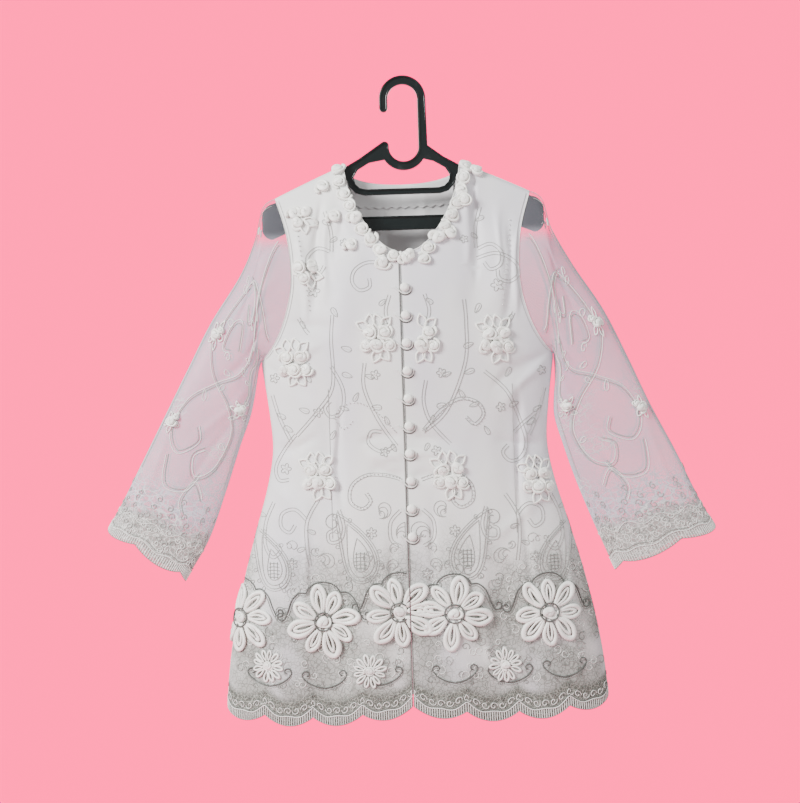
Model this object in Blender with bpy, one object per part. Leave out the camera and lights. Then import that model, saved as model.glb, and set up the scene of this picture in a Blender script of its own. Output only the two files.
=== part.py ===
"""A long-sleeved kebaya blouse of embroidered organza over a plain lining, buttoned down the centre front,
on a flat plastic hanger.

Lengths are in millimetres until a mesh is written, which is in metres with +Z up. The origin is the inside
top of the hanger's hook. The front faces -Y, so the wearer's right side is at -X. The blouse is worked out
about its own centre line, CENTRE_X from the hook.
"""

import bisect
import math
from collections import namedtuple

import bmesh
import bpy
from mathutils import Vector

MM = 0.001
FRONTWARD = Vector((0, -1, 0))

# Blouse
CENTRE_X = -4.0
BODY_WALL = 1.5
SLEEVE_WALL = 1.0
SEAM_GAP = 0.3
ARMHOLE_GAP = 0.9
OPENING_X = -7.0
OPENING_GAP = 1.0
HEM_Z = -872.0
HEM_DROP = 13.0
UNDERARM_Z = -388.0
NECK_POINT = (83.0, -113.0)
SHOULDER_TIP = (181.0, -157.0)
SCALLOP_DEPTH = 13.0
CUFF_SCALLOP_DEPTH = 9.0
SCALLOPS_A_QUARTER = 4
CUFF_SCALLOPS = 5

# How the cloth falls from the hanger's arm: its roll over the arm, and the way its depth builds up below
ARM_ROLL = 7.5
ROLL_FADE = 120.0
DEPTH_BUILD = 90.0

Section = namedtuple("Section", "height half_width front_depth back_depth")
BODY_SECTIONS = (
    Section(-910, 272, 60, 58),
    Section(-838, 267, 58, 56),
    Section(-770, 257, 56, 54),
    Section(-702, 242, 53, 51),
    Section(-633, 223, 49, 47),
    Section(-565, 203, 44, 43),
    Section(-514, 194, 42, 41),
    Section(-463, 197, 44, 42),
    Section(-388, 207, 50, 44),
    Section(-300, 219, 52, 45),
    Section(-200, 238, 46, 42),
    Section(-100, 262, 44, 40),
)
BODY_FLATNESS = 0.22

# Soft ridges (lift above 0) and troughs, each along a line down the cloth
Fold = namedtuple("Fold", "top_x top_z end_x end_z half_width lift")
FRONT_FOLDS = (
    Fold(-112, -165, -134, -340, 22, -4),
    Fold(-72, -210, -92, -360, 24, 3),
    Fold(110, -140, 96, -340, 22, -4),
    Fold(142, -190, 128, -330, 22, 3),
    Fold(-112, -450, -112, -600, 18, -3),
    Fold(141, -440, 141, -620, 18, -3),
    Fold(-64, -620, -70, -900, 30, 4),
    Fold(-118, -640, -126, -900, 30, -3),
    Fold(-172, -600, -190, -900, 32, 4.5),
    Fold(60, -620, 66, -900, 32, 4),
    Fold(124, -640, 134, -900, 30, -3),
    Fold(180, -600, 198, -900, 32, 4.5),
)
BACK_FOLDS = (
    Fold(-96, -170, -110, -360, 26, 4),
    Fold(88, -160, 104, -350, 26, 4),
    Fold(-88, -440, -86, -620, 18, -3),
    Fold(90, -440, 88, -620, 18, -3),
    Fold(0, -620, 4, -900, 34, 4),
    Fold(-62, -640, -66, -900, 30, -3),
    Fold(-118, -610, -130, -900, 34, 4),
    Fold(-178, -640, -192, -900, 30, -3),
    Fold(62, -640, 66, -900, 30, -3),
    Fold(118, -610, 130, -900, 34, 4),
    Fold(182, -640, 194, -900, 30, -3),
)

Point = namedtuple("Point", "x z")
FRONT_NECKLINE = (Point(8, -242), Point(22, -236), Point(38, -222), Point(60, -189), Point(76, -150),
                  Point(*NECK_POINT))
BACK_NECKLINE = (Point(0, -139), Point(28, -138), Point(54, -134), Point(72, -127), Point(*NECK_POINT))
ARMHOLE = (Point(207, UNDERARM_Z), Point(195, -376), Point(180, -352), Point(168, -320), Point(161, -285),
           Point(161, -245), Point(167, -203), Point(*SHOULDER_TIP))

# Sleeves, hanging almost flat: the outer edge and the inner edge as seen from the front
Station = namedtuple("Station", "outer_x outer_z inner_x inner_z half_depth")
SLEEVE_STATIONS = {
    "right": (
        Station(182, -157.5, 208, -387, 33),
        Station(195, -161, 209, -391, 32),
        Station(204, -172, 210, -395, 31),
        Station(208, -205, 212, -403, 29),
        Station(232, -262, 215, -420, 26),
        Station(277, -330, 219, -441, 23),
        Station(312, -395, 226, -468, 20),
        Station(348, -463, 241, -507, 17),
        Station(384, -531, 263, -570, 16),
        Station(410, -580, 289, -637, 17),
        Station(430, -614, 320, -688, 19),
    ),
    "left": (
        Station(182, -157.5, 208, -387, 33),
        Station(195, -161, 209, -391, 32),
        Station(204, -172, 210, -395, 31),
        Station(208, -205, 210, -405, 29),
        Station(238, -262, 209, -425, 26),
        Station(280, -328, 206, -450, 23),
        Station(312, -395, 206, -478, 20),
        Station(342, -463, 216, -515, 18),
        Station(376, -531, 233, -568, 17),
        Station(405, -595, 256, -628, 18),
        Station(428, -637, 282, -690, 20),
    ),
}
CAP_STATIONS = 3.0

# Mesh density
QUARTER_COLUMNS = 16
SKIRT_ROWS = 13
YOKE_ROWS = 11
FRONT_NECK_ROW = 3
BACK_NECK_ROW = 6
SLEEVE_COLUMNS = 20
SLEEVE_ROWS_A_STATION = 1.5

# Applied trimmings, at places measured on the front as seen
TRIM_LIFT = 0.8
ROSETTE = 21.0
ROSETTE_HEIGHT = 7.0
ROSETTES_A_SIDE = 13
LEAF_HEIGHT = 3.0
BIG_FLOWER = 100.0
SMALL_FLOWER = 46.0
BUD = 26.0
BUTTON = 13.0
BUTTON_HEIGHT = 7.0
BUTTONS = 10
TOP_BUTTON_Z = -292.0
BUTTON_PITCH = 38.5
BUTTON_X = -1.0

# Hanger, cut from one flat sheet
HANGER_THICKNESS = 7.0
HOOK_IN = 21.0
HOOK_OUT = 33.0
HOOK_LEG_Z = -33.0
DIP_Z = -89.0
ARM_DEPTH = 14.0
UPPER_BAR = (-148.0, -156.5)
LOWER_BAR = (-187.0, -207.0)


def read_curve(points, x):
    """The value at x of a smooth curve through (x, value) points in rising order of x."""
    keys = [point[0] for point in points]
    if x <= keys[0]:
        return points[0][1]
    if x >= keys[-1]:
        return points[-1][1]
    i = bisect.bisect_right(keys, x) - 1

    def slope(k):
        before = points[max(k - 1, 0)]
        after = points[min(k + 1, len(points) - 1)]
        return (after[1] - before[1]) / (after[0] - before[0])

    span = keys[i + 1] - keys[i]
    t = (x - keys[i]) / span
    start = points[i][1] * (1 + 2 * t) * (1 - t) ** 2 + slope(i) * span * t * (1 - t) ** 2
    end = points[i + 1][1] * t * t * (3 - 2 * t) + slope(i + 1) * span * t * t * (t - 1)
    return start + end


def curve_columns(table, key, columns):
    """One (key, value) list for each of the named columns."""
    return {column: [(getattr(row, key), getattr(row, column)) for row in table] for column in columns}


BODY_CURVES = curve_columns(BODY_SECTIONS, "height", ("half_width", "front_depth", "back_depth"))


def along(points, fraction):
    """The place at this fraction of the length of a smooth path through the points."""
    lengths = [0.0]
    for before, after in zip(points, points[1:]):
        lengths.append(lengths[-1] + math.dist(before, after))
    place = fraction * lengths[-1]
    x = read_curve(list(zip(lengths, [point.x for point in points])), place)
    z = read_curve(list(zip(lengths, [point.z for point in points])), place)
    return Point(x, z)


def smoothstep(t):
    t = min(max(t, 0.0), 1.0)
    return t * t * (3 - 2 * t)


# A quarter of the body's cross-section is a flat ellipse, read by arc length
ARC_SAMPLES = 90


def quarter_lengths():
    lengths = [0.0]
    step = math.pi / 2 / ARC_SAMPLES
    for k in range(ARC_SAMPLES):
        angle = (k + 0.5) * step
        lengths.append(lengths[-1] + step * math.hypot(math.cos(angle), BODY_FLATNESS * math.sin(angle)))
    return lengths


QUARTER_LENGTHS = quarter_lengths()
QUARTER = QUARTER_LENGTHS[-1]


def angle_of_arc(arc):
    """The ellipse's angle at this arc length from a centre line, for a half width of 1."""
    rest = abs(arc)
    folded = rest if rest <= QUARTER else 2 * QUARTER - rest
    k = min(bisect.bisect_right(QUARTER_LENGTHS, folded) - 1, ARC_SAMPLES - 1)
    part = (folded - QUARTER_LENGTHS[k]) / (QUARTER_LENGTHS[k + 1] - QUARTER_LENGTHS[k])
    angle = (k + part) * math.pi / 2 / ARC_SAMPLES
    return math.copysign(angle if rest <= QUARTER else math.pi - angle, arc)


def arc_of_angle(angle):
    k = min(abs(angle) / (math.pi / 2) * ARC_SAMPLES, ARC_SAMPLES)
    low = min(int(k), ARC_SAMPLES - 1)
    arc = QUARTER_LENGTHS[low] + (k - low) * (QUARTER_LENGTHS[low + 1] - QUARTER_LENGTHS[low])
    return math.copysign(arc, angle)


def shoulder_z(x):
    """The height of the shoulder seam, carried on past its ends."""
    slope = (SHOULDER_TIP[1] - NECK_POINT[1]) / (SHOULDER_TIP[0] - NECK_POINT[0])
    return NECK_POINT[1] + slope * (abs(x) - NECK_POINT[0])


def fold_lift(folds, x, z):
    lift = 0.0
    for fold in folds:
        share = (z - fold.top_z) / (fold.end_z - fold.top_z)
        line_x = fold.top_x + (fold.end_x - fold.top_x) * share
        fade = smoothstep(share / 0.3) * smoothstep((1.15 - share) / 0.35)
        lift += fold.lift * fade * math.exp(-(((x - line_x) / fold.half_width) ** 2))
    return lift


def half_width(z):
    return read_curve(BODY_CURVES["half_width"], z)


def skin(angle, z):
    """A point of the body's outer surface: angle 0 is the centre front, 90 degrees the wearer's left side."""
    at_front = math.cos(angle) >= 0
    x = half_width(z) * math.sin(angle)
    facing = abs(math.cos(angle))
    depth = read_curve(BODY_CURVES["front_depth" if at_front else "back_depth"], z)
    below = max(shoulder_z(x) - z, 0.0)
    roll = math.sqrt(1 - (1 - min(below / ARM_ROLL, 1)) ** 2)
    out = ARM_ROLL * roll * facing ** 0.4 * math.exp(-below / ROLL_FADE)
    out += depth * facing * (1 - math.exp(-below / DEPTH_BUILD))
    out += fold_lift(FRONT_FOLDS if at_front else BACK_FOLDS, x, z) * math.sqrt(facing)
    return Vector((x, -out if at_front else out, z))


def angle_at(x, z):
    return math.asin(max(-1.0, min(1.0, x / half_width(z))))


def on_body(arc, z, lift, at_back=False):
    """A point above the body's skin, at an arc length in millimetres from the centre front or centre back."""
    def place(at_arc, at_z):
        angle = angle_of_arc(at_arc / half_width(z))
        return skin(math.pi - angle if at_back else angle, at_z)

    step = 0.5
    across = place(arc + step, z) - place(arc - step, z)
    upward = place(arc, z + step) - place(arc, z - step)
    outward = upward.cross(across) if at_back else across.cross(upward)
    return place(arc, z) + lift * outward.normalized()


def body_arc(x, z):
    """The arc length from the centre line at which the body passes x."""
    return arc_of_angle(angle_at(x, z)) * half_width(z)


def loft(rows, closed):
    """Rows of points joined by quads. A closed row is a ring."""
    bm = bmesh.new()
    made = [[bm.verts.new(point) for point in row] for row in rows]
    for low, high in zip(made, made[1:]):
        for k in range(len(low) if closed else len(low) - 1):
            after = (k + 1) % len(low)
            bm.faces.new((low[k], low[after], high[after], high[k]))
    bm.normal_update()
    return bm, made


def cap(bm, ring, centre):
    """A fan from a ring of vertices to a point."""
    middle = bm.verts.new(centre)
    for k, vert in enumerate(ring):
        bm.faces.new((vert, ring[(k + 1) % len(ring)], middle))


def thicken(bm, wall, outward):
    """Turns the open surface into a closed wall that lies inside it. outward(face) points out of the garment."""
    if sum(face.normal.dot(outward(face)) for face in bm.faces) < 0:
        bmesh.ops.reverse_faces(bm, faces=bm.faces[:])
        bm.normal_update()
    bmesh.ops.solidify(bm, geom=bm.faces[:], thickness=wall)


def face_out(bm):
    bmesh.ops.recalc_face_normals(bm, faces=bm.faces[:])


def add_object(name, bm, material, at_x=CENTRE_X):
    face_out(bm)
    bmesh.ops.scale(bm, vec=(MM, MM, MM), verts=bm.verts)
    mesh = bpy.data.meshes.new(name)
    bm.to_mesh(mesh)
    bm.free()
    mesh.materials.append(material)
    mesh.shade_smooth()
    obj = bpy.data.objects.new(name, mesh)
    obj.location.x = at_x * MM
    bpy.data.collections["kebaya_on_hanger"].objects.link(obj)
    return obj


def plain_material(name, color, roughness, metallic=0.0):
    material = bpy.data.materials.new(name)
    material.use_nodes = True
    shader = material.node_tree.nodes["Principled BSDF"]
    shader.inputs["Base Color"].default_value = (*color, 1.0)
    shader.inputs["Roughness"].default_value = roughness
    shader.inputs["Metallic"].default_value = metallic
    return material


def scallop(turns, depth):
    """How far a scalloped edge drops, with one lobe in each turn."""
    return depth * abs(math.sin(math.pi * turns)) ** 0.8


def hem_z(share):
    """The hem's height at this share of a quarter of the body, from its centre line to its side."""
    return HEM_Z - HEM_DROP * math.sin(math.pi * share) - scallop(SCALLOPS_A_QUARTER * share, SCALLOP_DEPTH)


def yoke_share(row):
    """How far up the armhole this row of the yoke ends. The rows close up towards the shoulder seam."""
    return 1 - (1 - row / YOKE_ROWS) ** 2


def panel_rows(neckline, neck_row, inner_x):
    """A quarter of the body as rows of points from the hem to the shoulder seam, inner edge first.

    The rows of the skirt run level. Those of the yoke run from the centre line, and from neck_row on from
    the neckline, to the armhole.
    """
    neck_z = neckline[0].z
    neck_at = yoke_share(neck_row)
    ends = []
    for k in range(SKIRT_ROWS):
        z = HEM_Z + (UNDERARM_Z - HEM_Z) * k / SKIRT_ROWS
        ends.append((Point(inner_x, z), Point(half_width(z), z)))
    for k in range(YOKE_ROWS + 1):
        share = yoke_share(k)
        if k <= neck_row:
            inner = Point(inner_x, UNDERARM_Z + (neck_z - UNDERARM_Z) * share / neck_at)
        else:
            inner = along(neckline, (share - neck_at) / (1 - neck_at))
        ends.append((inner, along(ARMHOLE, share)))

    rows = []
    for number, (inner, outer) in enumerate(ends):
        start = arc_of_angle(angle_at(inner.x, inner.z))
        end = arc_of_angle(angle_at(outer.x, outer.z))
        row = []
        for column in range(QUARTER_COLUMNS + 1):
            share = column / QUARTER_COLUMNS
            z = hem_z(share) if number == 0 else inner.z + (outer.z - inner.z) * share
            row.append((angle_of_arc(start + (end - start) * share), z))
        rows.append(row)
    return rows


def keep_off_seams(bm, side_y, opening_x=None, side_x=1):
    """Holds the wall half a gap from the seam plane y = 0 and from the centre front opening."""
    for vert in bm.verts:
        if vert.co.y * side_y < SEAM_GAP / 2:
            vert.co.y = side_y * SEAM_GAP / 2
        if opening_x is not None and (vert.co.x - opening_x) * side_x < OPENING_GAP / 2:
            vert.co.x = opening_x + side_x * OPENING_GAP / 2


def make_front(name, side_x, material):
    """One front, from the centre front to the side seam, up to the shoulder."""
    inner_x = side_x * OPENING_X + OPENING_GAP / 2
    rows = panel_rows(FRONT_NECKLINE, FRONT_NECK_ROW, inner_x)
    points = [[skin(side_x * angle, z) for angle, z in row] for row in rows]
    bm, _ = loft(points, closed=False)
    thicken(bm, BODY_WALL, lambda face: FRONTWARD)
    keep_off_seams(bm, -1, OPENING_X, side_x)
    return add_object(name, bm, material)


def make_back(material):
    """The back is one piece: two mirrored halves that meet down the centre line below the neck."""
    rows = panel_rows(BACK_NECKLINE, BACK_NECK_ROW, 0.0)
    points = [[skin(math.pi - angle, z) for angle, z in row] for row in rows]
    bm, _ = loft(points, closed=False)
    bmesh.ops.mirror(bm, geom=bm.verts[:] + bm.edges[:] + bm.faces[:], axis="X", merge_dist=0.01)
    bmesh.ops.recalc_face_normals(bm, faces=bm.faces[:])
    thicken(bm, BODY_WALL, lambda face: -FRONTWARD)
    keep_off_seams(bm, 1)
    return add_object("back", bm, material)


def make_back_facing(material):
    """The facing that shows inside the back neck, against the back's inner side."""
    top_inset = 1.5
    depth = 33.0
    columns = 12
    rows = 4
    wall = 0.8
    reach = 0.84
    inside = -(BODY_WALL + SEAM_GAP + 0.2)
    points = []
    for row in range(rows + 1):
        line = []
        for column in range(columns + 1):
            share = -1 + 2 * column / columns
            edge = along(BACK_NECKLINE, abs(share) * reach)
            x = math.copysign(edge.x, share)
            z = edge.z - top_inset - (depth + 8 * share ** 2) * row / rows
            line.append(on_body(body_arc(x, z), z, inside, at_back=True))
        points.append(line)
    bm, _ = loft(points, closed=False)
    thicken(bm, wall, lambda face: -FRONTWARD)
    return add_object("back_neck_facing", bm, material)


def sleeve_point(curves, place, angle, side_x):
    """A point of a sleeve at a place along its stations. Angle 0 is the outer edge and 90 degrees the front."""
    outer_x, outer_z, inner_x, inner_z, half_depth = (read_curve(curve, place) for curve in curves)
    share = (1 - math.cos(angle)) / 2
    hung = Vector((
        outer_x + (inner_x - outer_x) * share,
        -half_depth * math.sin(angle),
        outer_z + (inner_z - outer_z) * share,
    ))
    edge = along(ARMHOLE, 1 - share)
    ahead = along(ARMHOLE, min(1 - share + 0.01, 1))
    behind = along(ARMHOLE, max(1 - share - 0.01, 0))
    run = Vector((ahead.x - behind.x, 0, ahead.z - behind.z)).normalized()
    body_angle = angle_at(edge.x, edge.z)
    seam = skin(body_angle if math.sin(angle) >= 0 else math.pi - body_angle, edge.z)
    seam.y *= min(abs(math.sin(angle)) * 4, 1)
    seam += ARMHOLE_GAP * Vector((run.z, 0, -run.x))
    point = seam.lerp(hung, smoothstep(place / CAP_STATIONS))
    point.x *= side_x
    return point


def make_sleeve(name, side_x, stations, material):
    """A sleeve from the armhole to its scalloped cuff."""
    curves = [[(k, station[column]) for k, station in enumerate(stations)] for column in range(len(stations[0]))]
    last = len(stations) - 1
    count = round(last * SLEEVE_ROWS_A_STATION)
    rings = []
    for row in range(count + 1):
        place = last * row / count
        ring = []
        for column in range(SLEEVE_COLUMNS):
            angle = 2 * math.pi * column / SLEEVE_COLUMNS
            point = sleeve_point(curves, place, angle, side_x)
            if row == count:
                run = (point - rings[-1][column]).normalized()
                point += run * scallop(CUFF_SCALLOPS * column / SLEEVE_COLUMNS, CUFF_SCALLOP_DEPTH)
            ring.append(point)
        rings.append(ring)
    middles = [sum(ring, Vector()) / len(ring) for ring in rings]

    def from_middle(face):
        centre = face.calc_center_median()
        return centre - min(middles, key=lambda middle: (middle - centre).length)

    bm, _ = loft(rings, closed=True)
    thicken(bm, SLEEVE_WALL, from_middle)
    return add_object(name, bm, material)


def raised_patch(name, place, rays, radius_at, height_at, material, cut=None):
    """A closed solid that lies on a panel. place(across, up, lift) gives its points.

    radius_at(angle) is its outline, and height_at(across, up) its thickness there. A cut is where a panel's
    edge ends it, as a distance across from its centre, below 0 on its left.
    """
    def ring(share, lifted):
        points = []
        for k in range(rays):
            angle = 2 * math.pi * k / rays
            reach = radius_at(angle)
            if cut and math.cos(angle) * cut > 0:
                reach = min(reach, cut / math.cos(angle))
            reach *= share
            across = reach * math.cos(angle)
            up = reach * math.sin(angle)
            lift = TRIM_LIFT + (height_at(across, up) if lifted else 0.0)
            points.append(place(across, up, lift))
        return points

    bm, made = loft([ring(0.5, False), ring(1.0, False), ring(0.93, True), ring(0.66, True), ring(0.33, True)],
                    closed=True)
    cap(bm, made[0], place(0, 0, TRIM_LIFT))
    cap(bm, made[-1], place(0, 0, TRIM_LIFT + height_at(0, 0)))
    return add_object(name, bm, material)


def body_place(x, z, at_back=False):
    """Gives a patch its points about (x, z) on the body."""
    arc = body_arc(x, z)
    return lambda across, up, lift: on_body(arc + across, z + up, lift, at_back)


def sleeve_place(stations, station, angle, side_x):
    """Gives a patch its points about a place on a sleeve."""
    curves = [[(k, row[column]) for k, row in enumerate(stations)] for column in range(len(stations[0]))]

    def place(across, up, lift):
        def at(more_across, more_up):
            here = stations[round(station)]
            girth = math.hypot(here.outer_x - here.inner_x, here.outer_z - here.inner_z)
            spacing = math.dist((here.outer_x, here.outer_z),
                                (stations[round(station) - 1].outer_x, stations[round(station) - 1].outer_z))
            turn = angle + (across + more_across) * 2 / girth
            return sleeve_point(curves, station - (up + more_up) / spacing, turn, side_x)

        step = 0.5
        out = (at(step, 0) - at(-step, 0)).cross(at(0, step) - at(0, -step)).normalized() * -side_x
        return at(0, 0) + out * lift

    return place


# A cluster is a few rosettes and leaves about its centre: across, up, radius, height
Dome = namedtuple("Dome", "across up radius height")
CLUSTER = (
    Dome(-12, 8, 11, 7), Dome(9, 9, 11, 7), Dome(-2, -9, 12, 7.5), Dome(-17, -9, 10, 6), Dome(15, -10, 10, 6),
    Dome(-18, 22, 9, 3), Dome(6, 25, 9, 3), Dome(3, -25, 9, 3),
)
SMALL_CLUSTER = (Dome(-7, 3, 11, 7), Dome(9, 4, 10, 6), Dome(-2, -12, 10, 6), Dome(14, -14, 9, 3))


def make_cluster(name, place, domes, rays, material, cut=None):
    """Rosettes and leaves that overlap, as one raised solid with a bump for each."""
    def radius_at(angle):
        reach = 0.0
        for dome in domes:
            toward = dome.across * math.cos(angle) + dome.up * math.sin(angle)
            aside = dome.across * math.sin(angle) - dome.up * math.cos(angle)
            if abs(aside) < dome.radius:
                reach = max(reach, toward + math.sqrt(dome.radius ** 2 - aside ** 2))
        return max(reach, ROSETTE / 2)

    def height_at(across, up):
        tallest = LEAF_HEIGHT
        for dome in domes:
            away = math.hypot(across - dome.across, up - dome.up) / dome.radius
            if away < 1:
                tallest = max(tallest, dome.height * math.sqrt(1 - 0.7 * away ** 2))
        return tallest

    return raised_patch(name, place, rays, radius_at, height_at, material, cut)


def make_flower(name, place, diameter, petals, height, material, cut=None):
    """A flat ribbon flower: a raised centre in a ring of petals."""
    def radius_at(angle):
        return diameter / 2 * (0.9 + 0.1 * math.cos(petals * angle))

    def height_at(across, up):
        away = math.hypot(across, up) / (diameter / 2)
        return height * (1 - 0.45 * away)

    return raised_patch(name, place, 2 * petals, radius_at, height_at, material, cut)


def make_neck_chain(name, side_x, material):
    """Rosettes side by side along one half of the front neckline, as a strip that swells at each."""
    inset = 8.0
    first = 0.02
    last = 0.93
    count = 2 * ROSETTES_A_SIDE
    narrow = 0.62
    sections = []
    for k in range(count + 1):
        share = first + (last - first) * k / count
        edge = along(FRONT_NECKLINE, share)
        before = along(FRONT_NECKLINE, share - 0.01)
        after = along(FRONT_NECKLINE, share + 0.01)
        run = Vector((after.x - before.x, after.z - before.z)).normalized()
        swell = 1.0 if k % 2 else narrow
        section = []
        for across, height in ((-0.5, 0), (0.5, 0), (0.42, 0.75), (0.15, 1), (-0.15, 1), (-0.42, 0.75)):
            away = inset + across * ROSETTE * swell
            x = edge.x + run.y * away
            z = edge.z - run.x * away
            x = max(x, side_x * OPENING_X + 1.5)
            lift = TRIM_LIFT + height * ROSETTE_HEIGHT * swell
            section.append(on_body(body_arc(side_x * x, z), z, lift))
        sections.append(section)
    bm, made = loft(sections, closed=True)
    bm.faces.new(made[0])
    bm.faces.new(made[-1][::-1])
    return add_object(name, bm, material)


def make_button(name, z, material):
    """A round covered button on the wearer's left front, just beside the opening."""
    place = body_place(BUTTON_X, z)
    sides = 8

    def ring(share, lift):
        radius = BUTTON / 2 * share
        turns = [2 * math.pi * k / sides for k in range(sides)]
        return [place(radius * math.cos(turn), radius * math.sin(turn), lift) for turn in turns]

    low = 0.4
    bm, made = loft([ring(0.7, low), ring(1.0, low + BUTTON_HEIGHT * 0.4), ring(0.6, low + BUTTON_HEIGHT * 0.9)],
                    closed=True)
    cap(bm, made[0], place(0, 0, low))
    cap(bm, made[-1], place(0, 0, low + BUTTON_HEIGHT))
    return add_object(name, bm, material)


def arc_points(centre, radius, start, end, steps):
    """Points of an arc, with angles in degrees anticlockwise from +X."""
    angles = [math.radians(start + (end - start) * k / steps) for k in range(steps + 1)]
    return [Point(centre.x + radius * math.cos(a), centre.z + radius * math.sin(a)) for a in angles]


def hanger_arm_z(x):
    """The top edge of the hanger's arms, at a distance x from its centre line."""
    return read_curve(((32, -88), (84, -118.0), (132, -140.0), (180, -163.5)), x)


def hanger_outline():
    """The hanger's edge, from the tip of the hook round the left arm, the lower bar and the right arm."""
    wire = (HOOK_OUT - HOOK_IN) / 2
    middle = (HOOK_OUT + HOOK_IN) / 2
    hook = Point(0, -HOOK_IN)
    dip = Point(0, DIP_Z)
    outline = arc_points(Point(-middle, HOOK_LEG_Z), wire, 180, 360, 6)
    outline += arc_points(hook, HOOK_IN, 180, 0, 12)
    outline += arc_points(dip, HOOK_IN, 0, -180, 12)
    outline += arc_points(Point(-HOOK_IN - wire, DIP_Z + 2), wire, 0, 130, 5)

    def arm(side):
        points = [Point(CENTRE_X + side * x, hanger_arm_z(x)) for x in (84, 132, 176)]
        points += arc_points(Point(CENTRE_X + side * 180, -184), 20, 90 - side * 8, 90 - side * 90, 5)
        points += arc_points(Point(CENTRE_X + side * 186, -201), 14, 90 - side * 90, 90 - side * 180, 4)
        points.append(Point(CENTRE_X + side * 166, LOWER_BAR[1]))
        return points

    outline += arm(-1)
    outline += arm(1)[::-1]
    outline.append(Point(HOOK_OUT + 1, DIP_Z + 1))
    outline += arc_points(hook, HOOK_OUT, 0, 180, 16)
    return outline


def hanger_windows():
    """The two openings in the hanger: under the dip, and between the two bars."""
    def under_arm(x):
        return Point(x, hanger_arm_z(x) - ARM_DEPTH)

    def both_sides(points):
        right = [Point(CENTRE_X + point.x, point.z) for point in points]
        left = [Point(CENTRE_X - point.x, point.z) for point in reversed(points)]
        return right + left

    upper = [under_arm(46), under_arm(62), Point(68, -130), Point(66, -140), Point(60, -146),
             Point(52, UPPER_BAR[0])]
    lower = [Point(54, UPPER_BAR[1]), Point(66, -153), Point(75, -143), Point(78, -134), under_arm(86),
             under_arm(132), under_arm(150), Point(158, -172), Point(156, -182), Point(148, LOWER_BAR[0])]
    under_dip = arc_points(Point(0, DIP_Z), HOOK_OUT, -148, -32, 10)
    return under_dip + both_sides(upper), both_sides(lower)


def make_hanger(material):
    """A flat outline with two windows, cut from one thickness."""
    curve = bpy.data.curves.new("hanger", "CURVE")
    curve.dimensions = "2D"
    curve.fill_mode = "BOTH"
    curve.extrude = HANGER_THICKNESS / 2 * MM
    for edge in (hanger_outline(), *hanger_windows()):
        spline = curve.splines.new("POLY")
        spline.points.add(len(edge) - 1)
        for point, (x, z) in zip(spline.points, edge):
            point.co = (x * MM, z * MM, 0, 1)
        spline.use_cyclic_u = True
    curve.materials.append(material)
    obj = bpy.data.objects.new("hanger", curve)
    obj.rotation_euler.x = math.pi / 2
    bpy.data.collections["kebaya_on_hanger"].objects.link(obj)
    return obj


def clear_scene():
    for obj in list(bpy.data.objects):
        bpy.data.objects.remove(obj, do_unlink=True)
    collection = bpy.data.collections.new("kebaya_on_hanger")
    bpy.context.scene.collection.children.link(collection)


# Places of the trimmings about the blouse's centre line, and where a panel's edge cuts one off
Spot = namedtuple("Spot", "name x z cut", defaults=(None,))
FRONT_CLUSTERS = (
    Spot("chest_cluster_right", -40, -362),
    Spot("side_cluster_right", -157, -392),
    Spot("waist_cluster_right", -128, -552),
    Spot("chest_cluster_left", 21, -364, -12),
    Spot("side_cluster_left", 126, -368),
    Spot("waist_cluster_left_inner", 56, -556),
    Spot("waist_cluster_left_outer", 178, -566),
)
BACK_CLUSTERS = (
    Spot("back_waist_cluster_left", 96, -556),
    Spot("back_waist_cluster_right", -96, -556),
    Spot("back_chest_cluster_left", 62, -372),
    Spot("back_chest_cluster_right", -62, -372),
)
SHOULDER_CLUSTERS = (
    Spot("shoulder_cluster_right", -146, -184),
    Spot("armhole_cluster_right", -140, -262),
)
FRONT_FLOWERS = (
    Spot("flower_side_right", -245, -748, -11),
    Spot("flower_front_right", -128, -753),
    Spot("flower_opening_right", -22, -742, 12),
    Spot("flower_front_left", 54, -746),
    Spot("flower_side_left", 186, -750),
)
BACK_FLOWERS = (
    Spot("flower_back_a", -126, -750),
    Spot("flower_back_b", 0, -750),
    Spot("flower_back_c", 126, -750),
)
FRONT_SMALL_FLOWERS = (
    Spot("small_flower_right_outer", -208, -813),
    Spot("small_flower_right_inner", -66, -822),
    Spot("small_flower_left", 122, -820),
)
BACK_SMALL_FLOWERS = (
    Spot("small_flower_back_a", -63, -816),
    Spot("small_flower_back_b", 63, -816),
)

# Buds on the sleeves: name, side, station, angle in degrees from the outer edge towards the front
SleeveSpot = namedtuple("SleeveSpot", "name side station angle")
SLEEVE_BUDS = (
    SleeveSpot("sleeve_bud_right_upper", "right", 5, 48),
    SleeveSpot("sleeve_bud_right_outer", "right", 7, 40),
    SleeveSpot("sleeve_bud_right_inner", "right", 6, 132),
    SleeveSpot("sleeve_bud_left_upper", "left", 5, 48),
    SleeveSpot("sleeve_bud_left_outer", "left", 7, 40),
    SleeveSpot("sleeve_bud_left_inner", "left", 6, 132),
)


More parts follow.
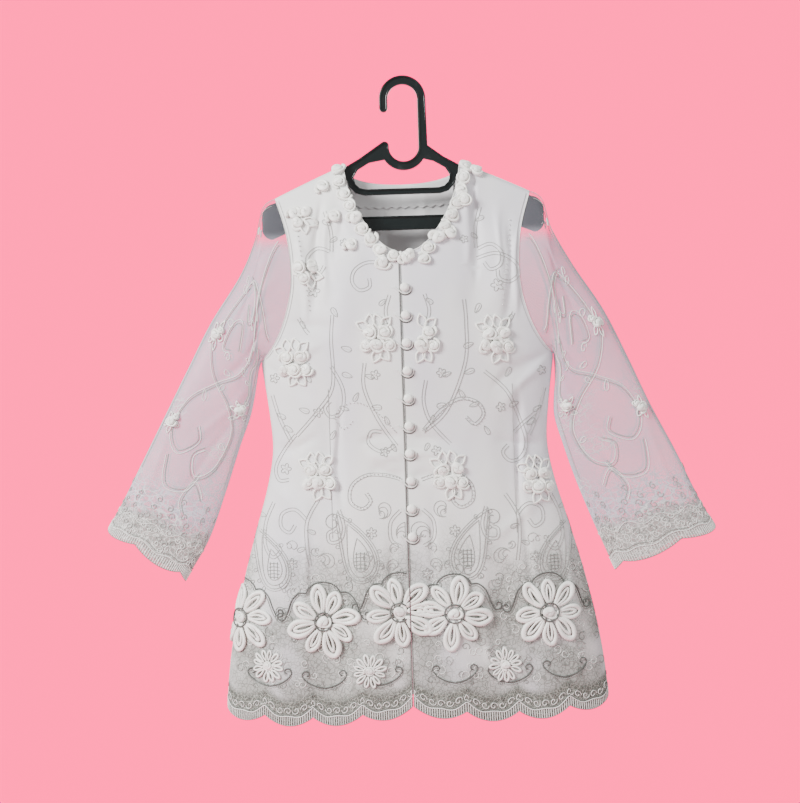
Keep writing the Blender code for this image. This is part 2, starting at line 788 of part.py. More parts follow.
def build():
    clear_scene()
    cloth = plain_material("cloth", (0.78, 0.77, 0.75), 0.6)
    organza = plain_material("organza", (0.72, 0.62, 0.68), 0.5)
    trim = plain_material("trim", (0.80, 0.80, 0.76), 0.55)
    plastic = plain_material("plastic", (0.02, 0.025, 0.025), 0.25)

    make_front("front_right", -1, cloth)
    make_front("front_left", 1, cloth)
    make_back(cloth)
    make_back_facing(cloth)
    for side, side_x in (("right", -1), ("left", 1)):
        make_sleeve("sleeve_" + side, side_x, SLEEVE_STATIONS[side], organza)
        make_neck_chain("neck_rosettes_" + side, side_x, trim)
    make_hanger(plastic)

    for spot in FRONT_CLUSTERS:
        make_cluster(spot.name, body_place(spot.x, spot.z), CLUSTER, 16, trim, spot.cut)
    for spot in SHOULDER_CLUSTERS:
        make_cluster(spot.name, body_place(spot.x, spot.z), SMALL_CLUSTER, 12, trim)
    for spot in BACK_CLUSTERS:
        make_cluster(spot.name, body_place(spot.x, spot.z, True), CLUSTER, 16, trim)
    for spot in FRONT_FLOWERS:
        make_flower(spot.name, body_place(spot.x, spot.z), BIG_FLOWER, 9, 5, trim, spot.cut)
    for spot in BACK_FLOWERS:
        make_flower(spot.name, body_place(spot.x, spot.z, True), BIG_FLOWER, 9, 5, trim)
    for spot in FRONT_SMALL_FLOWERS:
        make_flower(spot.name, body_place(spot.x, spot.z), SMALL_FLOWER, 5, 4, trim)
    for spot in BACK_SMALL_FLOWERS:
        make_flower(spot.name, body_place(spot.x, spot.z, True), SMALL_FLOWER, 5, 4, trim)
    for spot in SLEEVE_BUDS:
        side_x = -1 if spot.side == "right" else 1
        place = sleeve_place(SLEEVE_STATIONS[spot.side], spot.station, math.radians(spot.angle), side_x)
        make_flower(spot.name, place, BUD, 5, ROSETTE_HEIGHT, trim)
    for k in range(BUTTONS):
        make_button("button_" + str(k + 1), TOP_BUTTON_Z - BUTTON_PITCH * k, trim)


build()
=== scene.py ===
"""The long-sleeved kebaya blouse of embroidered organza on its flat plastic hanger, dressed for a render.

Lengths are in millimetres until a mesh is written, which is in metres with +Z up. The origin is the inside
top of the hanger's hook and the front faces -Y. The blouse is worked out about its own centre line,
CENTRE_X from the hook, on the same surfaces as the solids.
"""

import bisect
import math
import random
from collections import namedtuple

import bmesh
import bpy
from mathutils import Matrix, Vector, noise


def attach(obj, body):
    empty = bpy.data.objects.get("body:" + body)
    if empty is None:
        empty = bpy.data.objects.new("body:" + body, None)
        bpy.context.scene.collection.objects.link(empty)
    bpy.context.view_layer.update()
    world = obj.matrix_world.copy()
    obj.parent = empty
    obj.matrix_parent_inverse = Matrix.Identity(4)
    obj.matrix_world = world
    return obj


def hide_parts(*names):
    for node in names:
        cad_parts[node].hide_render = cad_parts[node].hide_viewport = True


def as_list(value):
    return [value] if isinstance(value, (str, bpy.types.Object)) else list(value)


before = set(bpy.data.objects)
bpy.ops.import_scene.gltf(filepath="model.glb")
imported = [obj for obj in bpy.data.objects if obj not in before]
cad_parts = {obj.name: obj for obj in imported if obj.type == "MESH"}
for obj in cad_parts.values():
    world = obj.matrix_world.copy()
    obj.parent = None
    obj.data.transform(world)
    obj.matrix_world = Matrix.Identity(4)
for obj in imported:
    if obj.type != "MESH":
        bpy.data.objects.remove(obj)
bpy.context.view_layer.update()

MM = 0.001
chance = random.Random(31)

# Blouse, as in the solids
CENTRE_X = -4.0
ARMHOLE_GAP = 0.3
OPENING_X = -7.0
OPENING_GAP = 1.0
HEM_Z = -872.0
HEM_DROP = 13.0
UNDERARM_Z = -388.0
NECK_POINT = (83.0, -113.0)
SHOULDER_TIP = (181.0, -157.0)
SCALLOP_DEPTH = 13.0
CUFF_SCALLOP_DEPTH = 9.0
SCALLOPS_A_QUARTER = 4
CUFF_SCALLOPS = 5
ARM_ROLL = 7.5
ROLL_FADE = 120.0
DEPTH_BUILD = 90.0
BODY_FLATNESS = 0.22
CAP_STATIONS = 3.0
CLOTH_WALL = 0.7
ORGANZA_WALL = 0.35

# Studio, in metres: the camera looks straight at the front, a little turned about its own axis
VIEW_CENTRE = Vector((-0.0164, 0.0, -0.4503))
VIEW_DISTANCE = 2.2
VIEW_WIDTH = 1.136
VIEW_ROLL = math.radians(1.8)
SENSOR = 36.0
LIGHT_TARGET = (0, 0, -0.45)
AMBIENT = 0.36
BACKDROP = (1.0, 0.0, 0.135, 1.0)
BACKDROP_STRENGTH = 4.3
FLOOR_RADIUS = 1.5
FLOOR_Z = -1.5

Section = namedtuple("Section", "height half_width front_depth back_depth")
BODY_SECTIONS = (
    Section(-910, 272, 60, 58),
    Section(-838, 267, 58, 56),
    Section(-770, 257, 56, 54),
    Section(-702, 242, 53, 51),
    Section(-633, 223, 49, 47),
    Section(-565, 203, 44, 43),
    Section(-514, 194, 42, 41),
    Section(-463, 197, 44, 42),
    Section(-388, 207, 50, 44),
    Section(-300, 219, 52, 45),
    Section(-200, 238, 46, 42),
    Section(-100, 262, 44, 40),
)

# The solids' soft folds: each runs down the cloth along a line
Fold = namedtuple("Fold", "top_x top_z end_x end_z half_width lift")
FRONT_FOLDS = (
    Fold(-112, -165, -134, -340, 22, -4),
    Fold(-72, -210, -92, -360, 24, 3),
    Fold(110, -140, 96, -340, 22, -4),
    Fold(142, -190, 128, -330, 22, 3),
    Fold(-112, -450, -112, -600, 18, -3),
    Fold(141, -440, 141, -620, 18, -3),
    Fold(-64, -620, -70, -900, 30, 4),
    Fold(-118, -640, -126, -900, 30, -3),
    Fold(-172, -600, -190, -900, 32, 4.5),
    Fold(60, -620, 66, -900, 32, 4),
    Fold(124, -640, 134, -900, 30, -3),
    Fold(180, -600, 198, -900, 32, 4.5),
)
BACK_FOLDS = (
    Fold(-96, -170, -110, -360, 26, 4),
    Fold(88, -160, 104, -350, 26, 4),
    Fold(-88, -440, -86, -620, 18, -3),
    Fold(90, -440, 88, -620, 18, -3),
    Fold(0, -620, 4, -900, 34, 4),
    Fold(-62, -640, -66, -900, 30, -3),
    Fold(-118, -610, -130, -900, 34, 4),
    Fold(-178, -640, -192, -900, 30, -3),
    Fold(62, -640, 66, -900, 30, -3),
    Fold(118, -610, 130, -900, 34, 4),
    Fold(182, -640, 194, -900, 30, -3),
)

# Finer creases of the dressed cloth, with a lift above 0 for a ridge
CREASE_DEPTH = 1.65
FRONT_CREASES = (
    Fold(-117, -172, -128, -300, 6, -2.6),
    Fold(-104, -168, -118, -310, 7, 2.0),
    Fold(-88, -190, -96, -250, 5, -1.2),
    Fold(-146, -215, -138, -330, 7, 1.4),
    Fold(-160, -330, -100, -352, 8, -1.5),
    Fold(-180, -372, -118, -372, 7, 1.5),
    Fold(-196, -392, -140, -440, 8, -1.6),
    Fold(104, -128, 98, -280, 6, -2.6),
    Fold(92, -140, 88, -260, 7, 1.8),
    Fold(150, -205, 142, -350, 5, -2.0),
    Fold(160, -215, 152, -330, 5, 1.8),
    Fold(136, -180, 130, -300, 6, 1.3),
    Fold(196, -385, 120, -430, 8, -1.8),
    Fold(190, -400, 128, -462, 9, 1.6),
    Fold(-99, -455, -100, -590, 5, -2.2),
    Fold(-106, -470, -108, -580, 6, 1.4),
    Fold(151, -440, 152, -600, 5, -2.2),
    Fold(158, -470, 160, -600, 6, 1.4),
    Fold(-70, -505, -14, -496, 6, -1.7),
    Fold(-60, -522, -12, -530, 6, 1.6),
    Fold(-56, -545, -10, -552, 6, -1.5),
    Fold(-2, -498, 62, -512, 6, -1.7),
    Fold(0, -524, 70, -528, 7, 1.6),
    Fold(0, -560, 48, -548, 6, -1.4),
    Fold(186, -520, 120, -505, 7, -1.5),
    Fold(-186, -515, -130, -500, 7, -1.5),
    Fold(-30, -620, -34, -800, 9, -1.5),
    Fold(-94, -610, -99, -860, 8, -1.6),
    Fold(-150, -600, -158, -850, 8, 1.5),
    Fold(-212, -640, -228, -870, 9, -1.8),
    Fold(28, -600, 30, -780, 8, -1.4),
    Fold(96, -610, 100, -850, 9, 1.5),
    Fold(156, -600, 166, -860, 8, -1.7),
    Fold(214, -650, 230, -870, 9, 1.6),
    Fold(-196, -560, -120, -640, 10, 1.3),
    Fold(200, -565, 110, -650, 10, 1.3),
)
BACK_CREASES = (
    Fold(-118, -175, -126, -330, 7, -2.0),
    Fold(-104, -172, -112, -310, 7, 1.6),
    Fold(110, -170, 122, -320, 7, -2.0),
    Fold(98, -168, 110, -300, 7, 1.7),
    Fold(-30, -160, -10, -300, 9, 1.4),
    Fold(36, -158, 18, -290, 9, -1.3),
    Fold(-198, -392, -120, -440, 9, -1.7),
    Fold(198, -390, 122, -436, 9, -1.7),
    Fold(-190, -410, -110, -470, 9, 1.5),
    Fold(188, -412, 112, -466, 9, 1.4),
    Fold(-60, -500, 50, -508, 7, -1.6),
    Fold(-70, -524, 64, -530, 8, 1.6),
    Fold(-40, -552, 72, -548, 7, -1.4),
    Fold(-188, -520, -120, -506, 7, -1.5),
    Fold(188, -518, 118, -508, 7, -1.5),
    Fold(-90, -455, -88, -600, 5, -1.8),
    Fold(92, -450, 90, -600, 5, -1.8),
    Fold(-32, -620, -36, -830, 9, -1.5),
    Fold(34, -610, 38, -830, 9, 1.4),
    Fold(-92, -610, -98, -850, 8, 1.4),
    Fold(94, -615, 100, -850, 8, -1.6),
    Fold(-150, -600, -160, -860, 8, -1.6),
    Fold(152, -605, 164, -860, 8, 1.5),
    Fold(-216, -640, -232, -870, 9, 1.6),
    Fold(218, -640, 232, -870, 9, -1.7),
)

Point = namedtuple("Point", "x z")
FRONT_NECKLINE = (Point(8, -242), Point(22, -236), Point(38, -222), Point(60, -189), Point(76, -150),
                  Point(*NECK_POINT))
BACK_NECKLINE = (Point(0, -139), Point(28, -138), Point(54, -134), Point(72, -127), Point(*NECK_POINT))
ARMHOLE = (Point(207, UNDERARM_Z), Point(195, -376), Point(180, -352), Point(168, -320), Point(161, -285),
           Point(161, -245), Point(167, -203), Point(*SHOULDER_TIP))

Station = namedtuple("Station", "outer_x outer_z inner_x inner_z half_depth")
SLEEVE_STATIONS = {
    "right": (
        Station(182, -157.5, 208, -387, 33),
        Station(195, -161, 209, -391, 32),
        Station(204, -172, 210, -395, 31),
        Station(208, -205, 212, -403, 29),
        Station(232, -262, 215, -420, 26),
        Station(277, -330, 219, -441, 23),
        Station(312, -395, 226, -468, 20),
        Station(348, -463, 241, -507, 17),
        Station(384, -531, 263, -570, 16),
        Station(410, -580, 289, -637, 17),
        Station(430, -614, 320, -688, 19),
    ),
    "left": (
        Station(182, -157.5, 208, -387, 33),
        Station(195, -161, 209, -391, 32),
        Station(204, -172, 210, -395, 31),
        Station(208, -205, 210, -405, 29),
        Station(238, -262, 209, -425, 26),
        Station(280, -328, 206, -450, 23),
        Station(312, -395, 206, -478, 20),
        Station(342, -463, 216, -515, 18),
        Station(376, -531, 233, -568, 17),
        Station(405, -595, 256, -628, 18),
        Station(428, -637, 282, -690, 20),
    ),
}

# Creases of a sleeve: a place along its stations, an angle from its outer edge, both at each end
SleeveCrease = namedtuple("SleeveCrease", "start start_angle end end_angle half_width lift")
SLEEVE_CREASES = (
    SleeveCrease(0.8, 60, 4.5, 70, 7, -2.0),
    SleeveCrease(0.8, 84, 4.0, 100, 7, 1.8),
    SleeveCrease(1.0, 110, 5.0, 120, 6, -1.8),
    SleeveCrease(1.5, 138, 5.5, 96, 7, -1.5),
    SleeveCrease(4.5, 120, 6.5, 60, 8, -1.5),
    SleeveCrease(5.0, 140, 7.4, 84, 8, 1.5),
    SleeveCrease(6.2, 130, 9.0, 90, 8, -1.6),
    SleeveCrease(6.8, 40, 9.8, 58, 8, 1.4),
    SleeveCrease(0.8, 240, 4.5, 250, 7, -2.0),
    SleeveCrease(1.0, 280, 5.0, 270, 8, 1.8),
    SleeveCrease(4.0, 230, 7.0, 280, 8, -1.6),
    SleeveCrease(6.4, 240, 9.6, 290, 8, 1.5),
)


def read_curve(points, x):
    """The value at x of a smooth curve through (x, value) points in rising order of x."""
    keys = [point[0] for point in points]
    if x <= keys[0]:
        return points[0][1]
    if x >= keys[-1]:
        return points[-1][1]
    i = bisect.bisect_right(keys, x) - 1

    def slope(k):
        before = points[max(k - 1, 0)]
        after = points[min(k + 1, len(points) - 1)]
        return (after[1] - before[1]) / (after[0] - before[0])

    span = keys[i + 1] - keys[i]
    t = (x - keys[i]) / span
    start = points[i][1] * (1 + 2 * t) * (1 - t) ** 2 + slope(i) * span * t * (1 - t) ** 2
    end = points[i + 1][1] * t * t * (3 - 2 * t) + slope(i + 1) * span * t * t * (t - 1)
    return start + end


def curve_columns(table, key, columns):
    """One (key, value) list for each of the named columns."""
    return {column: [(getattr(row, key), getattr(row, column)) for row in table] for column in columns}


BODY_CURVES = curve_columns(BODY_SECTIONS, "height", ("half_width", "front_depth", "back_depth"))


def along(points, fraction):
    """The place at this fraction of the length of a smooth path through the points."""
    lengths = [0.0]
    for before, after in zip(points, points[1:]):
        lengths.append(lengths[-1] + math.dist(before, after))
    place = fraction * lengths[-1]
    x = read_curve(list(zip(lengths, [point.x for point in points])), place)
    z = read_curve(list(zip(lengths, [point.z for point in points])), place)
    return Point(x, z)


def smoothstep(t):
    t = min(max(t, 0.0), 1.0)
    return t * t * (3 - 2 * t)


# A quarter of the body's cross-section is a flat ellipse, read by arc length
ARC_SAMPLES = 90


def quarter_lengths():
    lengths = [0.0]
    step = math.pi / 2 / ARC_SAMPLES
    for k in range(ARC_SAMPLES):
        angle = (k + 0.5) * step
        lengths.append(lengths[-1] + step * math.hypot(math.cos(angle), BODY_FLATNESS * math.sin(angle)))
    return lengths


QUARTER_LENGTHS = quarter_lengths()
QUARTER = QUARTER_LENGTHS[-1]


def angle_of_arc(arc):
    """The ellipse's angle at this arc length from a centre line, for a half width of 1."""
    rest = abs(arc)
    folded = rest if rest <= QUARTER else 2 * QUARTER - rest
    k = min(bisect.bisect_right(QUARTER_LENGTHS, folded) - 1, ARC_SAMPLES - 1)
    part = (folded - QUARTER_LENGTHS[k]) / (QUARTER_LENGTHS[k + 1] - QUARTER_LENGTHS[k])
    angle = (k + part) * math.pi / 2 / ARC_SAMPLES
    return math.copysign(angle if rest <= QUARTER else math.pi - angle, arc)


def arc_of_angle(angle):
    k = min(abs(angle) / (math.pi / 2) * ARC_SAMPLES, ARC_SAMPLES)
    low = min(int(k), ARC_SAMPLES - 1)
    arc = QUARTER_LENGTHS[low] + (k - low) * (QUARTER_LENGTHS[low + 1] - QUARTER_LENGTHS[low])
    return math.copysign(arc, angle)


def shoulder_z(x):
    """The height of the shoulder seam, carried on past its ends."""
    slope = (SHOULDER_TIP[1] - NECK_POINT[1]) / (SHOULDER_TIP[0] - NECK_POINT[0])
    return NECK_POINT[1] + slope * (abs(x) - NECK_POINT[0])


def fold_lift(folds, x, z):
    lift = 0.0
    for fold in folds:
        share = (z - fold.top_z) / (fold.end_z - fold.top_z)
        if share <= 0 or share >= 1.15:
            continue
        line_x = fold.top_x + (fold.end_x - fold.top_x) * share
        fade = smoothstep(share / 0.3) * smoothstep((1.15 - share) / 0.35)
        lift += fold.lift * fade * math.exp(-(((x - line_x) / fold.half_width) ** 2))
    return lift


def crease_lift(creases, x, z):
    """The finer creases: each wanders about its line, and its width changes along it."""
    lift = 0.0
    for crease in creases:
        run_x = crease.end_x - crease.top_x
        run_z = crease.end_z - crease.top_z
        length = math.hypot(run_x, run_z)
        share = ((x - crease.top_x) * run_x + (z - crease.top_z) * run_z) / length ** 2
        if not -0.15 < share < 1.15:
            continue
        aside = ((x - crease.top_x) * run_z - (z - crease.top_z) * run_x) / length
        aside += 2.5 * math.sin(5.5 * share + crease.top_x)
        width = crease.half_width * (0.9 + 0.35 * math.sin(6 * share + crease.top_z))
        if abs(aside) > 3 * width:
            continue
        fade = smoothstep((share + 0.15) / 0.4) * smoothstep((1.15 - share) / 0.4)
        lift += crease.lift * fade * math.exp(-((aside / width) ** 2))
    return lift


def half_width(z):
    return read_curve(BODY_CURVES["half_width"], z)


def skin(angle, z):
    """A point of the body's outer surface: angle 0 is the centre front, 90 degrees the wearer's left side."""
    at_front = math.cos(angle) >= 0
    x = half_width(z) * math.sin(angle)
    facing = abs(math.cos(angle))
    depth = read_curve(BODY_CURVES["front_depth" if at_front else "back_depth"], z)
    below = max(shoulder_z(x) - z, 0.0)
    roll = math.sqrt(1 - (1 - min(below / ARM_ROLL, 1)) ** 2)
    out = ARM_ROLL * roll * facing ** 0.4 * math.exp(-below / ROLL_FADE)
    out += depth * facing * (1 - math.exp(-below / DEPTH_BUILD))
    out += fold_lift(FRONT_FOLDS if at_front else BACK_FOLDS, x, z) * math.sqrt(facing)
    fine = CREASE_DEPTH * crease_lift(FRONT_CREASES if at_front else BACK_CREASES, x, z)
    fine += 0.5 * noise.noise(Vector((x / 26, z / 34, 3.0 if at_front else 9.0)))
    out += fine * min(facing * 3, 1) * smoothstep(below / 25)
    return Vector((x, -out if at_front else out, z))


def angle_at(x, z):
    return math.asin(max(-1.0, min(1.0, x / half_width(z))))


def on_body(arc, z, lift, at_back=False):
    """A point above the body's skin, at an arc length in millimetres from the centre front or centre back."""
    def place(at_arc, at_z):
        angle = angle_of_arc(at_arc / half_width(z))
        return skin(math.pi - angle if at_back else angle, at_z)

    step = 0.8
    across = place(arc + step, z) - place(arc - step, z)
    upward = place(arc, z + step) - place(arc, z - step)
    outward = upward.cross(across) if at_back else across.cross(upward)
    return place(arc, z) + lift * outward.normalized()


def body_arc(x, z):
    """The arc length from the centre line at which the body passes x."""
    return arc_of_angle(angle_at(x, z)) * half_width(z)


def scallop(turns, depth):
    """How far a scalloped edge drops, with one lobe in each turn."""
    return depth * abs(math.sin(math.pi * turns)) ** 0.8


def hem_z(share):
    """The hem's height at this share of a quarter of the body, from its centre line to its side."""
    return HEM_Z - HEM_DROP * math.sin(math.pi * share) - scallop(SCALLOPS_A_QUARTER * share, SCALLOP_DEPTH)


def sleeve_crease_lift(place, angle, girth):
    lift = 0.0
    for crease in SLEEVE_CREASES:
        share = (place - crease.start) / (crease.end - crease.start)
        if not -0.15 < share < 1.15:
            continue
        line = math.radians(crease.start_angle + (crease.end_angle - crease.start_angle) * share)
        aside = (angle % (2 * math.pi) - line) * girth / 2 + 3 * math.sin(6 * share + crease.start_angle)
        width = crease.half_width * (0.9 + 0.3 * math.sin(5 * share + crease.end_angle))
        fade = smoothstep((share + 0.15) / 0.4) * smoothstep((1.15 - share) / 0.4)
        lift += crease.lift * fade * math.exp(-((aside / width) ** 2))
    return lift


def sleeve_point(curves, place, angle, side_x):
    """A point of a sleeve at a place along its stations. Angle 0 is the outer edge, 90 degrees the front."""
    outer_x, outer_z, inner_x, inner_z, half_depth = (read_curve(curve, place) for curve in curves)
    share = (1 - math.cos(angle)) / 2
    girth = math.hypot(outer_x - inner_x, outer_z - inner_z)
    half_depth += sleeve_crease_lift(place, angle, girth)
    hung = Vector((
        outer_x + (inner_x - outer_x) * share,
        -half_depth * math.sin(angle),
        outer_z + (inner_z - outer_z) * share,
    ))
    if place >= CAP_STATIONS:
        hung.x *= side_x
        return hung
    edge = along(ARMHOLE, 1 - share)
    ahead = along(ARMHOLE, min(1 - share + 0.01, 1))
    behind = along(ARMHOLE, max(1 - share - 0.01, 0))
    run = Vector((ahead.x - behind.x, 0, ahead.z - behind.z)).normalized()
    body_angle = angle_at(edge.x, edge.z)
    seam = skin(body_angle if math.sin(angle) >= 0 else math.pi - body_angle, edge.z)
    seam.y *= min(abs(math.sin(angle)) * 4, 1)
    seam += ARMHOLE_GAP * Vector((run.z, 0, -run.x))
    point = seam.lerp(hung, smoothstep(place / CAP_STATIONS))
    point.x *= side_x
    return point


def sleeve_curves(side):
    stations = SLEEVE_STATIONS[side]
    return [list(enumerate(column)) for column in zip(*stations)]


def body_place(x, z, at_back=False):
    """Gives a trimming its points about (x, z) on the body."""
    arc = body_arc(x, z)
    return lambda across, up, lift: on_body(arc + across, z + up, lift, at_back)


def sleeve_place(side, station, angle):
    """Gives a trimming its points about a place on a sleeve."""
    curves = sleeve_curves(side)
    stations = SLEEVE_STATIONS[side]
    side_x = -1 if side == "right" else 1
    low = max(min(int(station), len(stations) - 2), 0)
    here = stations[low]
    ahead = stations[low + 1]
    girth = math.hypot(here.outer_x - here.inner_x, here.outer_z - here.inner_z)
    middle = ((here.outer_x + here.inner_x) / 2, (here.outer_z + here.inner_z) / 2)
    following = ((ahead.outer_x + ahead.inner_x) / 2, (ahead.outer_z + ahead.inner_z) / 2)
    spacing = math.dist(middle, following)

    def place(across, up, lift):
        def at(more_across, more_up):
            turn = angle + (across + more_across) * 2 / girth
            return sleeve_point(curves, station - (up + more_up) / spacing, turn, side_x)

        step = 0.8
        out = (at(step, 0) - at(-step, 0)).cross(at(0, step) - at(0, -step)).normalized() * -side_x
        return at(0, 0) + out * lift

    return place


def mesh_of(bm, name):
    """The mesh of a bmesh, which is used up."""
    mesh = bpy.data.meshes.new(name)
    bm.to_mesh(mesh)
    bm.free()
    return mesh


def take_in(bm, mesh):
    """Adds a mesh to a bmesh and removes it."""
    bm.from_mesh(mesh)
    bpy.data.meshes.remove(mesh)


def lay_mesh(name, mesh, material, replaces=()):
    """Adds a finished mesh as a piece that hangs with the blouse."""
    if not mesh.materials:
        mesh.materials.append(material)
    mesh.shade_smooth()
    obj = bpy.data.objects.new(name, mesh)
    bpy.context.scene.collection.objects.link(obj)
    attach(obj, "root")
    if replaces:
        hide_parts(*replaces)
    return obj


def make_piece(name, bm, material, replaces=(), at_x=CENTRE_X, inner=None):
    """Writes a bmesh in millimetres as a piece in metres. inner is the material of faces marked 1."""
    mesh = mesh_of(bm, name)
    mesh.transform(Matrix.Diagonal((MM, MM, MM, 1)) @ Matrix.Translation((at_x, 0, 0)))
    mesh.materials.append(material)
    if inner:
        mesh.materials.append(inner)
    return lay_mesh(name, mesh, material, replaces)


def cloth_grid(columns, rows, place):
    """A grid of cloth. place(across, up) gives a point, its place on the cut and one from its borders."""
    bm = bmesh.new()
    cut_map = bm.loops.layers.uv.new("cut")
    border_map = bm.loops.layers.uv.new("border")
    bmesh.ops.create_grid(bm, x_segments=columns, y_segments=rows, size=0.5)
    maps = {}
    for vert in bm.verts:
        point, cut, border = place(vert.co.x + 0.5, vert.co.y + 0.5)
        maps[vert] = (cut * MM, border * MM)
        vert.co = point
    for face in bm.faces:
        for loop in face.loops:
            loop[cut_map].uv, loop[border_map].uv = maps[loop.vert]
    bm.normal_update()
    return bm


def thicken(bm, wall, outward):
    """Turns the open cloth into a closed thin wall, with its inner side marked 1."""
    if sum(face.normal.dot(outward(face)) for face in bm.faces) < 0:
        bmesh.ops.reverse_faces(bm, faces=bm.faces[:])
        bm.normal_update()
    outer = set(bm.faces)
    bmesh.ops.solidify(bm, geom=bm.faces[:], thickness=wall)
    bm.normal_update()
    for face in bm.faces:
        if face not in outer and face.normal.dot(outward(face)) < 0:
            face.material_index = 1


# The body's panels
SKIRT_ROWS = 13
YOKE_ROWS = 11
FRONT_NECK_ROW = 3
BACK_NECK_ROW = 6
FINE_ROWS = 8
FINE_COLUMNS = 88
BACK_COLUMNS = 80


def yoke_share(row):
    """How far up the armhole this row of the yoke ends. The rows close up towards the shoulder seam."""
    return 1 - (1 - row / YOKE_ROWS) ** 2


def quarter_place(neckline, neck_row, inner_x, side_x, at_back):
    """Gives a quarter of the body by its shares across, from the centre, and up, from the hem."""
    neck_z = neckline[0].z
    neck_at = yoke_share(neck_row)
    known = {}

    def ends(up):
        row = round(up * (SKIRT_ROWS + YOKE_ROWS), 4)
        if row in known:
            return known[row]
        if row <= SKIRT_ROWS:
            z = HEM_Z + (UNDERARM_Z - HEM_Z) * row / SKIRT_ROWS
            inner, outer = Point(inner_x, z), Point(half_width(z), z)
        else:
            share = yoke_share(row - SKIRT_ROWS)
            if share <= neck_at:
                inner = Point(inner_x, UNDERARM_Z + (neck_z - UNDERARM_Z) * share / neck_at)
            else:
                inner = along(neckline, (share - neck_at) / (1 - neck_at))
            outer = along(ARMHOLE, share)
        start = arc_of_angle(angle_at(inner.x, inner.z))
        end = arc_of_angle(angle_at(outer.x, outer.z))
        known[row] = (row, inner.z, outer.z, start, end)
        return known[row]

    def place(across, up):
        row, inner_z, outer_z, start, end = ends(up)
        z = inner_z + (outer_z - inner_z) * across
        edge = hem_z(across)
        if row < 1:
            z = edge + (z + (UNDERARM_Z - HEM_Z) * (1 - row) / SKIRT_ROWS - edge) * row
        arc = start + (end - start) * across
        angle = side_x * angle_of_arc(arc)
        point = skin(math.pi - angle if at_back else angle, z)
        aside = side_x * arc * half_width(z)
        return point, Vector((aside, z)), Vector((aside, z - edge))

    return place


def make_front(name, side_x, material, lining, replaces):
    inner_x = side_x * OPENING_X + OPENING_GAP / 2
    place = quarter_place(FRONT_NECKLINE, FRONT_NECK_ROW, inner_x, side_x, at_back=False)
    bm = cloth_grid(FINE_COLUMNS, FINE_ROWS * (SKIRT_ROWS + YOKE_ROWS), place)
    thicken(bm, CLOTH_WALL, lambda face: Vector((0, -1, 0)))
    return make_piece(name, bm, material, replaces, inner=lining)


def make_back(name, material, lining, replaces):
    """The back in two halves, joined down the middle and open above the neckline."""
    halves = []
    for side_x in (-1, 1):
        place = quarter_place(BACK_NECKLINE, BACK_NECK_ROW, 0.0, side_x, at_back=True)
        bm = cloth_grid(BACK_COLUMNS, FINE_ROWS * (SKIRT_ROWS + YOKE_ROWS), place)
        if sum(face.normal.y for face in bm.faces) < 0:
            bmesh.ops.reverse_faces(bm, faces=bm.faces[:])
        halves.append(bm)
    bm, other = halves
    take_in(bm, mesh_of(other, "half_back"))
    bmesh.ops.remove_doubles(bm, verts=bm.verts[:], dist=0.01)
    bm.normal_update()
    thicken(bm, CLOTH_WALL, lambda face: Vector((0, 1, 0)))
    return make_piece(name, bm, material, replaces, inner=lining)


def make_facing(name, material, replaces):
    """The facing inside the back neck, with a wavy lower edge."""
    inside = -(1.5 + 0.3 + 0.2)
    reach = 0.84

    def place(across, up):
        share = 2 * across - 1
        edge = along(BACK_NECKLINE, abs(share) * reach)
        x = math.copysign(edge.x, share)
        drop = 33 + 8 * share ** 2 - 1.6 + 1.5 * math.sin(38 * share) * (1 - up)
        z = edge.z - 1.5 - drop * (1 - up)
        point = on_body(body_arc(x, z), z, inside, at_back=True)
        return point, Vector((x, z)), Vector((x, drop * up))

    bm = cloth_grid(80, 24, place)
    thicken(bm, 0.6, lambda face: Vector((0, 1, 0)))
    return make_piece(name, bm, material, replaces)


# The sleeves
SLEEVE_COLUMNS = 112
SLEEVE_ROWS = 150
CUFF_RUN = 0.5


def sleeve_girth(curves, place):
    outer_x, outer_z, inner_x, inner_z, half_depth = (read_curve(curve, place) for curve in curves)
    flat = math.hypot(outer_x - inner_x, outer_z - inner_z)
    return 2 * math.sqrt(flat ** 2 + (1.1 * half_depth) ** 2)


def sleeve_rise(curves, place):
    """How far a place on the sleeve lies above its cuff, along its middle."""
    last = len(curves[0]) - 1
    here = [read_curve(curve, place) for curve in curves]
    end = [read_curve(curve, last) for curve in curves]
    return math.hypot((here[0] + here[2] - end[0] - end[2]) / 2, (here[1] + here[3] - end[1] - end[3]) / 2)


def hung_sleeve(curves, station, angle, side_x):
    """A point of the sleeve's cloth, with its cuff's scallops."""
    last = len(curves[0]) - 1
    point = sleeve_point(curves, station, angle, side_x)
    hang = station - (last - CUFF_RUN)
    if hang > 0:
        ahead = sleeve_point(curves, last, angle, side_x)
        behind = sleeve_point(curves, last - CUFF_RUN, angle, side_x)
        drop = scallop(CUFF_SCALLOPS * angle / (2 * math.pi), CUFF_SCALLOP_DEPTH)
        point += (ahead - behind).normalized() * drop * hang / CUFF_RUN
    return point


